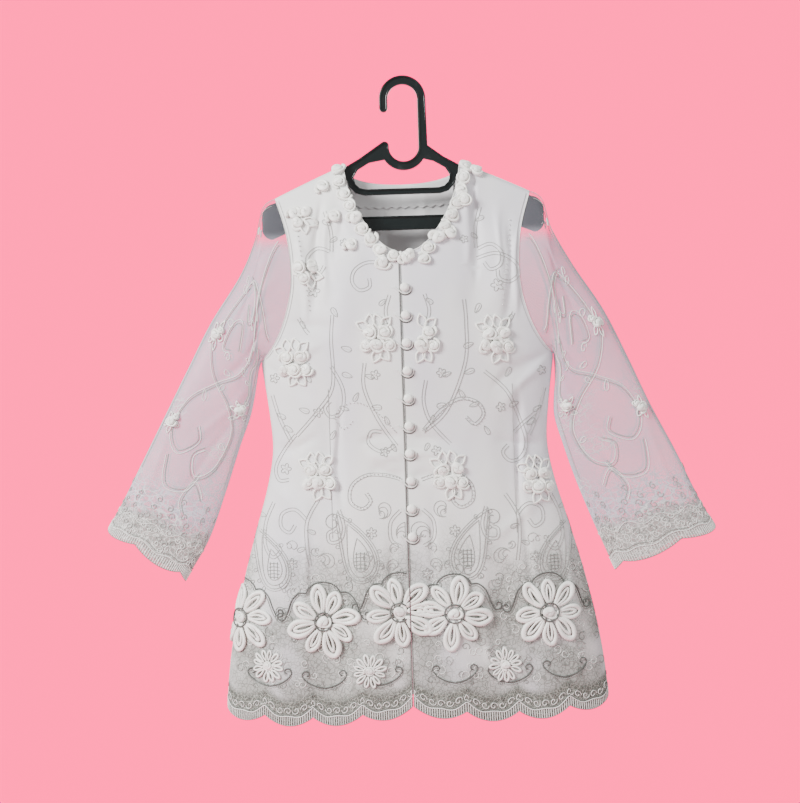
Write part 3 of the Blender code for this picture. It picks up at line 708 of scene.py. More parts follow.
def make_sleeve(name, side, material, replaces):
    side_x = -1 if side == "right" else 1
    curves = sleeve_curves(side)
    last = len(curves[0]) - 1
    known = {}

    def at(across, up):
        station = last * (1 - up)
        key = round(up, 4)
        if key not in known:
            known[key] = (sleeve_rise(curves, station), sleeve_girth(curves, station))
        rise, girth = known[key]
        from_fold = min(across, abs(across - 0.5), 1 - across) * girth
        border = Vector((from_fold, rise + scallop(CUFF_SCALLOPS * across, CUFF_SCALLOP_DEPTH)))
        point = hung_sleeve(curves, station, 2 * math.pi * across, side_x)
        return point, Vector((across * girth, rise)), border

    bm = cloth_grid(SLEEVE_COLUMNS, SLEEVE_ROWS, at)
    bmesh.ops.remove_doubles(bm, verts=bm.verts[:], dist=0.01)
    bm.normal_update()
    middles = []
    for k in range(41):
        station = last * k / 40
        ends = [sleeve_point(curves, station, angle, side_x) for angle in (0, math.pi)]
        middles.append((ends[0] + ends[1]) / 2)

    def from_middle(face):
        centre = face.calc_center_median()
        return centre - min(middles, key=lambda middle: (middle - centre).length_squared)

    thicken(bm, ORGANZA_WALL, from_middle)
    return make_piece(name, bm, material, replaces, inner=material)


# The hanger, a flat web inside raised rims
HOOK_IN = 21.0
HOOK_OUT = 33.0
HOOK_LEG_Z = -33.0
DIP_Z = -89.0
ARM_DEPTH = 14.0
UPPER_BAR = (-148.0, -156.5)
LOWER_BAR = (-187.0, -207.0)
HANGER_THICKNESS = 7.0
RIM_WIDTH = 2.6
WEB_THICKNESS = 3.0
RIM_ROUND = 0.7
FLAT_NORMAL = 0.98


def arc_points(centre, radius, start, end, steps):
    """Points of an arc, with angles in degrees anticlockwise from +X."""
    angles = [math.radians(start + (end - start) * k / steps) for k in range(steps + 1)]
    return [Point(centre.x + radius * math.cos(a), centre.z + radius * math.sin(a)) for a in angles]


def hanger_arm_z(x):
    """The top edge of the hanger's arms, at a distance x from its centre line."""
    return read_curve(((32, -88), (84, -118.0), (132, -140.0), (180, -163.5)), x)


def hanger_outline():
    """The hanger's edge, from the tip of the hook round the left arm, the lower bar and the right arm."""
    wire = (HOOK_OUT - HOOK_IN) / 2
    middle = (HOOK_OUT + HOOK_IN) / 2
    hook = Point(0, -HOOK_IN)
    dip = Point(0, DIP_Z)
    outline = arc_points(Point(-middle, HOOK_LEG_Z), wire, 180, 360, 10)
    outline += arc_points(hook, HOOK_IN, 180, 0, 28)
    outline += arc_points(dip, HOOK_IN, 0, -180, 28)
    outline += arc_points(Point(-HOOK_IN - wire, DIP_Z + 2), wire, 0, 130, 8)

    def arm(side):
        points = [Point(CENTRE_X + side * x, hanger_arm_z(x)) for x in (60, 84, 108, 132, 154, 176)]
        points += arc_points(Point(CENTRE_X + side * 180, -184), 20, 90 - side * 8, 90 - side * 90, 9)
        points += arc_points(Point(CENTRE_X + side * 186, -201), 14, 90 - side * 90, 90 - side * 180, 7)
        points.append(Point(CENTRE_X + side * 166, LOWER_BAR[1]))
        return points

    outline += arm(-1)
    outline += arm(1)[::-1]
    outline.append(Point(HOOK_OUT + 1, DIP_Z + 1))
    outline += arc_points(hook, HOOK_OUT, 0, 180, 36)
    return outline


def hanger_windows():
    """The two openings in the hanger: under the dip, and between the two bars."""
    def under_arm(x):
        return Point(x, hanger_arm_z(x) - ARM_DEPTH)

    def both_sides(points):
        right = [Point(CENTRE_X + point.x, point.z) for point in points]
        left = [Point(CENTRE_X - point.x, point.z) for point in reversed(points)]
        return right + left

    upper = [under_arm(46), under_arm(62), Point(68, -130), Point(66, -140), Point(60, -146),
             Point(52, UPPER_BAR[0])]
    lower = [Point(54, UPPER_BAR[1]), Point(66, -153), Point(75, -143), Point(78, -134), under_arm(86),
             under_arm(132), under_arm(150), Point(158, -172), Point(156, -182), Point(148, LOWER_BAR[0])]
    under_dip = arc_points(Point(0, DIP_Z), HOOK_OUT, -148, -32, 16)
    return under_dip + both_sides(upper), both_sides(lower)


def moved_edge(points, distance):
    """A closed outline moved to the left of its run."""
    count = len(points)
    moved = []
    for k, point in enumerate(points):
        before = points[k - 1]
        after = points[(k + 1) % count]
        run = Vector((after.x - before.x, after.z - before.z))
        run.normalize()
        moved.append(Point(point.x - run.y * distance, point.z + run.x * distance))
    return moved


def flat_plate(name, outlines, half_thickness, rounding):
    """A mesh of one flat filled outline, with its edge rounded."""
    curve = bpy.data.curves.new(name, "CURVE")
    curve.dimensions = "2D"
    curve.fill_mode = "BOTH"
    curve.extrude = (half_thickness - rounding) * MM
    curve.bevel_depth = rounding * MM
    curve.bevel_resolution = 2
    curve.offset = -rounding * MM
    for edge in outlines:
        spline = curve.splines.new("POLY")
        spline.points.add(len(edge) - 1)
        for point, (x, z) in zip(spline.points, edge):
            point.co = (x * MM, z * MM, 0, 1)
        spline.use_cyclic_u = True
    return curve


def mesh_of_curve(name, curve, turn=None):
    """The mesh that a curve makes, with the curve itself removed."""
    obj = bpy.data.objects.new(name, curve)
    bpy.context.scene.collection.objects.link(obj)
    graph = bpy.context.evaluated_depsgraph_get()
    mesh = bpy.data.meshes.new_from_object(obj.evaluated_get(graph))
    bpy.data.objects.remove(obj, do_unlink=True)
    bpy.data.curves.remove(curve)
    if turn:
        mesh.transform(turn)
    return mesh


def make_hanger(material):
    upright = Matrix.Rotation(math.pi / 2, 4, "X")
    outline = hanger_outline()
    edges = [outline, *hanger_windows()]
    inner = []
    for edge in edges:
        area = sum(a.x * b.z - b.x * a.z for a, b in zip(edge, edge[1:] + edge[:1]))
        into_plastic = math.copysign(RIM_WIDTH, area if edge is outline else -area)
        inner.append(moved_edge(edge, into_plastic))
    bm = bmesh.new()
    rims = flat_plate("rims", edges + inner, HANGER_THICKNESS / 2, RIM_ROUND)
    web = flat_plate("web", inner, WEB_THICKNESS / 2, 0.01)
    for curve in (rims, web):
        take_in(bm, mesh_of_curve(curve.name, curve, upright))
    bmesh.ops.remove_doubles(bm, verts=bm.verts[:], dist=1e-6)
    bmesh.ops.recalc_face_normals(bm, faces=bm.faces[:])
    mesh = mesh_of(bm, "hanger_moulded")
    lay_mesh("hanger_moulded", mesh, material, ["hanger"])
    for polygon in mesh.polygons:
        polygon.use_smooth = abs(polygon.normal.y) < FLAT_NORMAL


def swept_grid(steps, sides, point_at, joined=False):
    """A tube from a grid: point_at(along, round) gives its surface. joined closes it end to end."""
    bm = bmesh.new()
    bmesh.ops.create_grid(bm, x_segments=steps, y_segments=sides, size=0.5)
    for vert in bm.verts:
        vert.co = point_at(vert.co.x + 0.5, vert.co.y + 0.5)
    bmesh.ops.remove_doubles(bm, verts=bm.verts[:], dist=0.001)
    if not joined:
        bmesh.ops.holes_fill(bm, edges=[edge for edge in bm.edges if edge.is_boundary])
    bmesh.ops.recalc_face_normals(bm, faces=bm.faces[:])
    return mesh_of(bm, "unit")


def add_unit(bm, unit, move):
    """Copies a unit mesh into a bmesh, with its points moved."""
    known = len(bm.verts)
    bm.from_mesh(unit)
    bm.verts.ensure_lookup_table()
    for vert in bm.verts[known:]:
        vert.co = move(vert.co)


def tangent(place, across=0.0, up=0.0):
    """The flat frame of a trimming about one point of the cloth."""
    origin = place(across, up, 0)
    out = (place(across, up, 4) - origin).normalized()
    side = place(across + 2, up, 0) - place(across - 2, up, 0)
    side = (side - out * side.dot(out)).normalized()
    rise = out.cross(side)
    if rise.dot(place(across, up + 2, 0) - origin) < 0:
        rise = -rise
    return lambda x, y, lift: origin + side * x + rise * y + out * lift


def ribbon_rose(turns, lip):
    """A rose coiled from one ribbon, of radius 1 and height 1, with a wavy outer lip."""
    section = ((0.0, 0.0), (0.0, 0.30), (0.30, 0.62), (0.70, 1.0), (0.98, 0.92), (1.06, 0.0))

    def point_at(along_share, round_share):
        k = min(int(round_share * len(section) + 1e-6), len(section)) % len(section)
        turn = 2 * math.pi * turns * along_share
        wave = lip * math.sin(2.6 * turn)
        aside, rise = section[k]
        if rise > 0:
            rise += (1.0 - rise) * smoothstep(2 * math.pi + 0.6 - turn)
        reach = (turns * along_share ** 0.9 + aside) / (turns + 1) * (1 + 0.12 * wave * along_share)
        if turn < 2 * math.pi and aside == 0:
            reach = 0.0
        height = rise * (1.0 - 0.55 * reach ** 1.6 + 0.10 * wave * along_share)
        return Vector((reach * math.cos(turn), reach * math.sin(turn), height))

    return swept_grid(44, len(section), point_at)


def ribbon_loop(width, fold, cord, pointed):
    """A petal or leaf of one looped ribbon, of length 1 along +X, with a slot down its middle."""
    def point_at(along_share, round_share):
        turn = 2 * math.pi * along_share
        run = (1 - math.cos(turn)) / 2
        swell = max(math.sin(math.pi * run ** (1.0 if pointed else 1.5)), 0.0) ** (0.9 if pointed else 0.5)
        aside = width / 2 * math.copysign(swell, math.sin(turn)) * (abs(math.sin(turn)) ** 0.25)
        around = 2 * math.pi * round_share
        thick = cord * (1 + 0.5 * run)
        outward = math.copysign(1, math.sin(turn)) if abs(math.sin(turn)) > 0.01 else 0
        rise = fold * (0.75 + 0.35 * math.sin(math.pi * min(run * 1.1, 1)))
        return Vector((
            run + thick * math.cos(around) * -math.cos(turn),
            aside + thick * 1.25 * math.cos(around) * outward * abs(math.sin(turn)) ** 0.5,
            max(rise * (0.5 + 0.5 * math.sin(around)), 0.0),
        ))

    return swept_grid(22, 6, point_at, joined=True)


ROSES = [ribbon_rose(1.7, 1.2), ribbon_rose(2.1, 0.8), ribbon_rose(1.4, 1.6)]
LEAF = ribbon_loop(0.58, 0.13, 0.04, pointed=True)
LOOP = ribbon_loop(0.29, 0.12, 0.046, pointed=False)
BROAD_LOOP = ribbon_loop(0.50, 0.12, 0.052, pointed=False)

TRIM_LIFT = 0.5
ROSETTE = 21.0
ROSETTE_HEIGHT = 7.0


def add_rose(bm, place, across, up, radius, height):
    """One ribbon rose, turned and tilted by chance."""
    at = tangent(place, across, up)
    turn = chance.uniform(0, 2 * math.pi)
    tilt = chance.uniform(0, 2 * math.pi)
    squeeze = chance.uniform(0.88, 1.0)
    unit = chance.choice(ROSES)
    cos, sin = math.cos(turn), math.sin(turn)

    def move(co):
        x = (co.x * cos - co.y * sin) * radius
        y = (co.x * sin + co.y * cos) * radius * squeeze
        lean = 0.12 * (x * math.cos(tilt) + y * math.sin(tilt))
        return at(x, y, TRIM_LIFT + max(co.z * height + lean * min(co.z * 2, 1), 0))

    add_unit(bm, unit, move)


def add_petal(bm, unit, place, across, up, length, angle, height_scale=1.0, stretch=1.0, bend=0.0, lift=0.0):
    """One petal or leaf that starts at a point and runs out at an angle in radians."""
    cos, sin = math.cos(angle), math.sin(angle)

    def move(co):
        run = co.x * length
        side = co.y * length * stretch + bend * length * co.x ** 2
        return place(across + run * cos - side * sin, up + run * sin + side * cos,
                     TRIM_LIFT + lift + co.z * length * height_scale)

    add_unit(bm, unit, move)


def make_big_flower(bm, place, diameter, height):
    """A flat ribbon flower: lobes of a short loop inside a broad one, about a coiled centre."""
    lobes = 8
    start = chance.uniform(0, 2 * math.pi)
    away = diameter * 0.115
    for lobe in range(lobes):
        angle = start + 2 * math.pi * (lobe + chance.uniform(-0.09, 0.09)) / lobes
        reach = diameter * (0.385 if lobe % 2 else chance.uniform(0.32, 0.35))
        bend = chance.uniform(-0.12, 0.12)
        at = (away * math.cos(angle), away * math.sin(angle))
        add_petal(bm, BROAD_LOOP, place, *at, reach, angle, 1.2, chance.uniform(0.88, 1.08), bend)
        add_petal(bm, LOOP, place, *at, reach * 0.8, angle, 1.5, chance.uniform(0.7, 0.9), bend)
    add_rose(bm, place, 0, 0, diameter * 0.115, height + 1.2)


def make_small_flower(bm, place, diameter, height):
    """A small ribbon flower of loops about a coiled centre."""
    count = 12
    start = chance.uniform(0, 2 * math.pi)
    for k in range(count):
        angle = start + 2 * math.pi * (k + chance.uniform(-0.15, 0.15)) / count
        away = diameter * 0.16
        add_petal(bm, LOOP, place, away * math.cos(angle), away * math.sin(angle),
                  diameter * 0.33 * chance.uniform(0.9, 1.08), angle, 1.5, chance.uniform(1.1, 1.3))
    add_rose(bm, place, 0, 0, diameter * 0.19, height + 0.8)


def make_bud(bm, place, diameter, height):
    """A bud on a sleeve: a rose with a smaller one beside it and a few looped leaves."""
    start = chance.uniform(0, 2 * math.pi)
    for k in range(5):
        angle = start + 2 * math.pi * k / 5
        add_petal(bm, LEAF, place, 4 * math.cos(angle), 4 * math.sin(angle), diameter * 0.48, angle, 1.2)
    add_rose(bm, place, 0, 0, diameter * 0.36, height + 1)
    add_rose(bm, place, diameter * 0.22, diameter * 0.3, diameter * 0.24, height)


# A cluster is a few roses and leaves about its centre: across, up, radius, height
Dome = namedtuple("Dome", "across up radius height")
CLUSTER = (
    Dome(-12, 8, 11, 7), Dome(9, 9, 11, 7), Dome(-2, -9, 12, 7.5), Dome(-17, -9, 10, 6), Dome(15, -10, 10, 6),
    Dome(-18, 22, 9, 3), Dome(6, 25, 9, 3), Dome(3, -25, 9, 3),
)
SMALL_CLUSTER = (Dome(-7, 3, 11, 7), Dome(9, 4, 10, 6), Dome(-2, -12, 10, 6), Dome(14, -14, 9, 3))


def make_cluster(bm, place, domes, cut=None):
    """Roses with looped leaves that point out from among them."""
    for dome in domes:
        if cut and dome.across * cut > 0 and abs(dome.across) + 4 > abs(cut):
            continue
        if dome.height > 5:
            add_rose(bm, place, dome.across, dome.up, dome.radius * 1.1, dome.height)
            continue
        angle = math.atan2(dome.up, dome.across)
        for bend in (-0.62, 0.48):
            root = math.hypot(dome.across, dome.up) - 11
            add_petal(bm, LEAF, place, root * math.cos(angle), root * math.sin(angle), 21,
                      angle + bend + chance.uniform(-0.1, 0.1), 1.0)


# Places of the trimmings about the blouse's centre line, and where a panel's edge cuts one off
Spot = namedtuple("Spot", "name x z cut", defaults=(None,))
FRONT_CLUSTERS = (
    Spot("chest_cluster_right", -40, -362),
    Spot("side_cluster_right", -157, -392),
    Spot("waist_cluster_right", -128, -552),
    Spot("chest_cluster_left", 21, -364, -12),
    Spot("side_cluster_left", 126, -368),
    Spot("waist_cluster_left_inner", 56, -556),
    Spot("waist_cluster_left_outer", 178, -566),
)
BACK_CLUSTERS = (
    Spot("back_waist_cluster_left", 96, -556),
    Spot("back_waist_cluster_right", -96, -556),
    Spot("back_chest_cluster_left", 62, -372),
    Spot("back_chest_cluster_right", -62, -372),
)
SHOULDER_CLUSTERS = (
    Spot("shoulder_cluster_right", -146, -184),
    Spot("armhole_cluster_right", -140, -262),
)
FRONT_FLOWERS = (
    Spot("flower_side_right", -245, -748),
    Spot("flower_front_right", -128, -753),
    Spot("flower_opening_right", -22, -742, 12),
    Spot("flower_front_left", 54, -746),
    Spot("flower_side_left", 186, -750),
)
BACK_FLOWERS = (
    Spot("flower_back_a", -126, -750),
    Spot("flower_back_b", 0, -750),
    Spot("flower_back_c", 126, -750),
)
FRONT_SMALL_FLOWERS = (
    Spot("small_flower_right_outer", -208, -813),
    Spot("small_flower_right_inner", -66, -822),
    Spot("small_flower_left", 122, -820),
)
BACK_SMALL_FLOWERS = (
    Spot("small_flower_back_a", -63, -816),
    Spot("small_flower_back_b", 63, -816),
)
SleeveSpot = namedtuple("SleeveSpot", "name side station angle")
SLEEVE_BUDS = (
    SleeveSpot("sleeve_bud_right_upper", "right", 5, 48),
    SleeveSpot("sleeve_bud_right_outer", "right", 7, 40),
    SleeveSpot("sleeve_bud_right_inner", "right", 6, 132),
    SleeveSpot("sleeve_bud_left_upper", "left", 5, 48),
    SleeveSpot("sleeve_bud_left_outer", "left", 7, 40),
    SleeveSpot("sleeve_bud_left_inner", "left", 6, 132),
)
BIG_FLOWER = 100.0
SMALL_FLOWER = 46.0
BUD = 26.0
BUTTON = 13.0
BUTTON_HEIGHT = 7.0
BUTTON_PROFILE = ((0.0, 0.0), (0.62, 0.02), (0.86, 0.2), (1.0, 0.45), (0.9, 0.72), (0.62, 0.93), (0.3, 1.0),
                  (0.0, 0.96))
BUTTONS = 10
TOP_BUTTON_Z = -292.0
BUTTON_PITCH = 38.5
BUTTON_X = -1.0

# Roses that lie outside the neck's row, as (x, z)
OUTER_NECK_ROSES = {
    "right": ((-112, -144), (-97, -188), (-74, -230), (-31, -257)),
    "left": ((105, -127), (87, -171), (65, -217), (27, -253), (2, -251)),
}


def cut_at_opening(bm):
    """Parts a trimming where the two fronts meet."""
    for side in (-1, 1):
        half = bm.copy() if side < 0 else bm
        edge = OPENING_X + side * OPENING_GAP * 0.8
        cut = bmesh.ops.bisect_plane(half, geom=half.verts[:] + half.edges[:] + half.faces[:], dist=0.001,
                                     plane_co=(edge, 0, 0), plane_no=(-side, 0, 0), clear_outer=True)
        bmesh.ops.holes_fill(half, edges=[edge for edge in half.edges if edge.is_boundary])
        if side < 0:
            kept = mesh_of(half, "kept_half")
    take_in(bm, kept)


def make_neck_roses(name, side, material, replaces):
    """Roses side by side along one half of the front neckline, with a few more outside them."""
    side_x = -1 if side == "right" else 1
    bm = bmesh.new()
    count = 9
    inset = 8.5
    for k in range(count):
        share = 0.03 + 0.93 * k / (count - 1)
        edge = along(FRONT_NECKLINE, share)
        before = along(FRONT_NECKLINE, share - 0.01)
        after = along(FRONT_NECKLINE, share + 0.01)
        run = Vector((after.x - before.x, after.z - before.z)).normalized()
        away = inset + chance.uniform(-1.5, 1.5)
        x = side_x * (edge.x + run.y * away)
        z = edge.z - run.x * away
        if side == "left" and k == 0:
            x = 7
        add_rose(bm, body_place(x, z), 0, 0, ROSETTE / 2 * chance.uniform(1.06, 1.2), ROSETTE_HEIGHT)
    for x, z in OUTER_NECK_ROSES[side]:
        place = body_place(x, z)
        add_rose(bm, place, 0, 0, ROSETTE / 2 * chance.uniform(1.06, 1.2), ROSETTE_HEIGHT)
    return make_piece(name, bm, material, replaces)


def make_button(name, z, material, replaces):
    """A covered button with a gathered top."""
    bm = bmesh.new()
    place = body_place(BUTTON_X, z)
    at = tangent(place)
    made = [bm.verts.new((reach * BUTTON / 2, 0, rise * BUTTON_HEIGHT)) for reach, rise in BUTTON_PROFILE]
    for low, high in zip(made, made[1:]):
        bm.edges.new((low, high))
    bmesh.ops.spin(bm, geom=bm.verts[:] + bm.edges[:], cent=(0, 0, 0), axis=(0, 0, 1), angle=2 * math.pi,
                   steps=20, use_merge=True)
    bmesh.ops.remove_doubles(bm, verts=bm.verts[:], dist=0.01)
    for vert in bm.verts:
        turn = math.atan2(vert.co.y, vert.co.x)
        gather = 1 + 0.05 * math.sin(8 * turn) * min(vert.co.z / 3, 1)
        vert.co = at(vert.co.x * gather, vert.co.y * gather, 0.4 + vert.co.z)
    return make_piece(name, bm, material, replaces)


class Value:
    """A number that a material works out, with Python's arithmetic."""

    def __init__(self, finish, socket):
        self.finish = finish
        self.socket = socket

    def math(self, operation, first, second=0.0):
        return self.finish.node("ShaderNodeMath", {"operation": operation}, {0: first, 1: second})

    def __add__(self, other):
        return self.math("ADD", self, other)

    def __mul__(self, other):
        return self.math("MULTIPLY", self, other)

    def sine(self):
        return self.math("SINE", self)

    def most(self, other):
        return self.math("MAXIMUM", self, other)


class Finish:
    """The nodes of one material."""

    def __init__(self, name, **constants):
        self.material = bpy.data.materials.new(name)
        self.material.use_nodes = True
        self.tree = self.material.node_tree
        self.shader = self.tree.nodes["Principled BSDF"]
        for socket, value in constants.items():
            self.shader.inputs[socket.replace("_", " ")].default_value = value

    def node(self, kind, settings=None, values=None, output=0):
        made = self.tree.nodes.new(kind)
        for name, value in (settings or {}).items():
            setattr(made, name, value)
        for name, value in (values or {}).items():
            if isinstance(value, Value):
                self.tree.links.new(value.socket, made.inputs[name])
            else:
                made.inputs[name].default_value = value
        return Value(self, made.outputs[output])

    def feed(self, socket, value):
        self.tree.links.new(value.socket, self.shader.inputs[socket])

    def object_place(self):
        return self.node("ShaderNodeTexCoord", output="Object")

    def cut_place(self, name="cut"):
        return self.node("ShaderNodeUVMap", {"uv_map": name})

    def parts(self, place):
        separate = self.tree.nodes.new("ShaderNodeSeparateXYZ")
        self.tree.links.new(place.socket, separate.inputs[0])
        return [Value(self, output) for output in separate.outputs]

    def mapped(self, place, scale):
        return self.node("ShaderNodeMapping", None, {"Vector": place, "Scale": scale})

    def grain(self, place, scale, detail=3.0, distortion=0.0):
        return self.node("ShaderNodeTexNoise", None,
                         {"Vector": place, "Scale": scale, "Detail": detail, "Distortion": distortion})

    def lines_between(self, place, scale):
        """How near a point is to the border between cells."""
        return self.node("ShaderNodeTexVoronoi", {"feature": "DISTANCE_TO_EDGE"},
                         {"Vector": place, "Scale": scale})

    def fade(self, value, low, high, start=0.0, end=1.0):
        """Goes smoothly from start, where the value is low, to end, where it is high."""
        return self.node("ShaderNodeMapRange", {"interpolation_type": "SMOOTHSTEP"},
                         {"Value": value, "From Min": low, "From Max": high, "To Min": start, "To Max": end})

    def mix(self, share, first, second):
        return self.node("ShaderNodeMix", {"data_type": "RGBA"}, {0: share, 6: first, 7: second}, output=2)

    def bump(self, height, strength, distance):
        self.feed("Normal", self.node("ShaderNodeBump", None,
                                      {"Height": height, "Strength": strength, "Distance": distance}))


def rgb(red, green, blue):
    return red, green, blue, 1.0


def weave(finish, place, pitch):
    """Crossed threads of a plain weave, each pitch metres apart."""
    across, along_cloth, _ = finish.parts(place)
    turns = 2 * math.pi / pitch
    return (across * turns).sine() * (along_cloth * turns).sine()


def curled_ground(finish, place, cell):
    """Fine stitched curls: bent cell borders, with 1 on the thread."""
    wander = finish.grain(place, 0.5 / cell, 2.0)
    bent = finish.node("ShaderNodeVectorMath", {"operation": "MULTIPLY_ADD"},
                       {0: finish.node("ShaderNodeTexNoise", None, {"Vector": place, "Scale": 0.8 / cell,
                                                                    "Detail": 1.0}, output="Color"),
                        1: (cell, cell, 0), 2: place})
    near = finish.lines_between(bent, 1 / cell)
    return finish.fade(near, 0.03, 0.09, 1.0, 0.0), wander


def make_embroidered():
    """Organza embroidered tone on tone, over its white lining."""
    finish = Finish("embroidered_organza", Roughness=0.55, Sheen_Weight=0.25, Sheen_Roughness=0.4)
    place = finish.cut_place()
    rise = finish.parts(finish.cut_place("border"))[1]
    curls, wander = curled_ground(finish, place, 0.0062)
    patches = finish.fade(finish.grain(place, 12.0, 2.0), 0.34, 0.56)
    low = finish.fade(rise, 0.14, 0.30, 1.0, 0.0)
    stitched = curls * patches * low
    # Below the lining the hem band is dark between its lace threads: partly the lace's own grey, partly
    # painted shade of the blouse's inside seen through the unlined organza.
    band = finish.fade(rise, 0.030, 0.044, 1.0, 0.0)
    lace, _ = curled_ground(finish, place, 0.0042)
    # The long lengthwise streaks of darker lavender in the ground are painted fold shade.
    tone = finish.grain(finish.mapped(place, (1.0, 0.35, 1.0)), 7.0, 2.0)
    ground = finish.mix(finish.fade(tone, 0.40, 0.62), rgb(0.80, 0.795, 0.77), rgb(0.715, 0.70, 0.745))
    ground = finish.mix(low * (patches * 0.6 + 0.25), ground, rgb(0.275, 0.29, 0.255))
    ground = finish.mix(stitched * 0.8, ground, rgb(0.165, 0.17, 0.15))
    edge = finish.mix(lace, rgb(0.10, 0.108, 0.09), rgb(0.33, 0.345, 0.30))
    finish.feed("Base Color", finish.mix(band, ground, edge))
    finish.feed("Roughness", finish.fade(wander, 0.3, 0.7, 0.45, 0.62))
    threads = weave(finish, place, 0.0011) * 0.12
    finish.bump(threads + stitched * 0.8 + lace * band * 0.9, 0.5, 0.0006)
    return finish.material


def make_lining():
    """Smooth satin lining, with fine lengthwise threads and painted fold shade in faint lengthwise streaks.
    """
    finish = Finish("satin_lining", Sheen_Weight=0.2)
    place = finish.cut_place()
    # The darker lavender streaks of this tone are painted fold shade.
    tone = finish.grain(finish.mapped(place, (1.0, 0.25, 1.0)), 18.0, 3.0)
    finish.feed("Base Color", finish.mix(tone, rgb(0.74, 0.735, 0.71), rgb(0.66, 0.655, 0.675)))
    finish.feed("Roughness", finish.fade(tone, 0.3, 0.7, 0.38, 0.52))
    finish.bump(finish.grain(finish.mapped(place, (1.0, 0.05, 1.0)), 1400.0, 1.0), 0.25, 0.0003)
    return finish.material


def make_sheer():
    """Unlined organza that lets what is behind it show, closer at its seams and cuff."""
    finish = Finish("sheer_organza", Roughness=0.5, Sheen_Weight=0.3)
    place = finish.cut_place()
    rise = finish.parts(finish.cut_place("border"))[1]
    curls, wander = curled_ground(finish, place, 0.009)
    patches = finish.fade(finish.grain(place, 14.0, 2.0), 0.50, 0.62)
    stitched = curls * patches * finish.fade(rise, 0.24, 0.31, 0.8, 0.0)
    lace, _ = curled_ground(finish, place, 0.0046)
    border = finish.fade(rise, 0.040, 0.075, 1.0, 0.0)
    near_border = finish.fade(rise, 0.075, 0.13, 0.45, 0.0)
    tone = finish.grain(finish.mapped(place, (1.0, 0.3, 1.0)), 9.0, 2.0)
    ground = finish.mix(finish.fade(tone, 0.35, 0.65), rgb(0.66, 0.65, 0.71), rgb(0.56, 0.555, 0.65))
    ground = finish.mix(stitched, ground, rgb(0.66, 0.66, 0.64))
    edge = finish.mix(lace, rgb(0.40, 0.40, 0.37), rgb(0.72, 0.72, 0.68))
    finish.feed("Base Color", finish.mix(border, ground, edge))
    folded = finish.fade(finish.parts(finish.cut_place("border"))[0], 0.003, 0.020, 0.34, 0.0)
    high = finish.parts(finish.object_place())[2]
    cover = finish.fade(tone, 0.3, 0.7, 0.32, 0.47) * finish.fade(high, -0.235, -0.205, 1.0, 0.15) + folded
    threads = weave(finish, place, 0.0013) * 0.05
    laced = (lace * 0.25 + 0.62) * border
    cover = (cover + threads + stitched * 0.4 + near_border * curls * 0.9).most(laced)
    finish.feed("Alpha", cover)
    finish.feed("Roughness", finish.fade(wander, 0.3, 0.7, 0.4, 0.6))
    finish.bump(threads + stitched * 0.8 + lace * border, 0.5, 0.0005)
    return finish.material


def make_ribbon():
    """Ivory satin ribbon with fine ribs and a soft shine."""
    finish = Finish("satin_ribbon", Sheen_Weight=0.2)
    place = finish.object_place()
    tone = finish.grain(place, 60.0, 3.0)
    fine = finish.grain(place, 900.0, 2.0, 0.6)
    finish.feed("Base Color", finish.mix(tone, rgb(0.95, 0.945, 0.885), rgb(0.88, 0.875, 0.83)))
    finish.feed("Roughness", finish.fade(tone, 0.3, 0.7, 0.34, 0.52))
    finish.bump(fine, 0.35, 0.0004)
    return finish.material


def make_thread(name, color, shade, twist=0.0016):
    """Stitched cord, with the twist of its threads across it."""
    finish = Finish(name, Sheen_Weight=0.15)
    across, deep, high = finish.parts(finish.object_place())
    turns = 2 * math.pi / twist
    strands = ((across + high + deep) * turns).sine() * 0.5 + 0.5
    finish.feed("Base Color", finish.mix(strands * 0.7, rgb(*color), rgb(*shade)))
    finish.feed("Roughness", strands * 0.2 + 0.4)
    finish.bump(strands, 0.4, 0.0003)
    return finish.material


def make_plastic():
    """Glossy black moulded plastic, with a few fine scuffs."""
    finish = Finish("black_plastic", Coat_Weight=0.4, Coat_Roughness=0.12)
    place = finish.object_place()
    scuffs = finish.grain(place, 70.0, 4.0, 0.3)
    worn = finish.fade(scuffs, 0.62, 0.78)
    finish.feed("Base Color", finish.mix(worn * 0.4, rgb(0.006, 0.009, 0.009), rgb(0.03, 0.034, 0.034)))
    finish.feed("Roughness", finish.fade(scuffs, 0.35, 0.75, 0.12, 0.26))
    finish.bump(scuffs, 0.06, 0.0003)
    return finish.material


def make_pearl():
    """Small glass beads with a pearly shine."""
    finish = Finish("glass_beads", Coat_Weight=0.8, Metallic=0.25)
    tone = finish.grain(finish.object_place(), 320.0, 1.0)
    finish.feed("Base Color", finish.mix(tone, rgb(0.85, 0.85, 0.82), rgb(0.52, 0.52, 0.52)))
    finish.feed("Roughness", finish.fade(tone, 0.3, 0.7, 0.1, 0.3))
    return finish.material


def make_floor_paper():
    """Matt pale paper."""
    finish = Finish("floor_paper", Roughness=0.9)
    tone = finish.grain(finish.object_place(), 30.0, 4.0)
    finish.feed("Base Color", finish.mix(tone, rgb(0.95, 0.42, 0.50), rgb(0.92, 0.40, 0.48)))
    return finish.material


def make_world():
    """Even white light all round, with a plain pink seen behind the blouse."""
    world = bpy.data.worlds.new("studio")
    bpy.context.scene.world = world
    world.use_nodes = True
    tree = world.node_tree
    background = tree.nodes["Background"]
    background.inputs["Color"].default_value = (1.0, 1.0, 1.0, 1.0)
    background.inputs["Strength"].default_value = AMBIENT
    seen = tree.nodes.new("ShaderNodeBackground")
    seen.inputs["Color"].default_value = BACKDROP
    seen.inputs["Strength"].default_value = BACKDROP_STRENGTH
    choose = tree.nodes.new("ShaderNodeMixShader")
    rays = tree.nodes.new("ShaderNodeLightPath")
    tree.links.new(rays.outputs["Is Camera Ray"], choose.inputs[0])
    tree.links.new(background.outputs[0], choose.inputs[1])
    tree.links.new(seen.outputs[0], choose.inputs[2])
    tree.links.new(choose.outputs[0], tree.nodes["World Output"].inputs["Surface"])


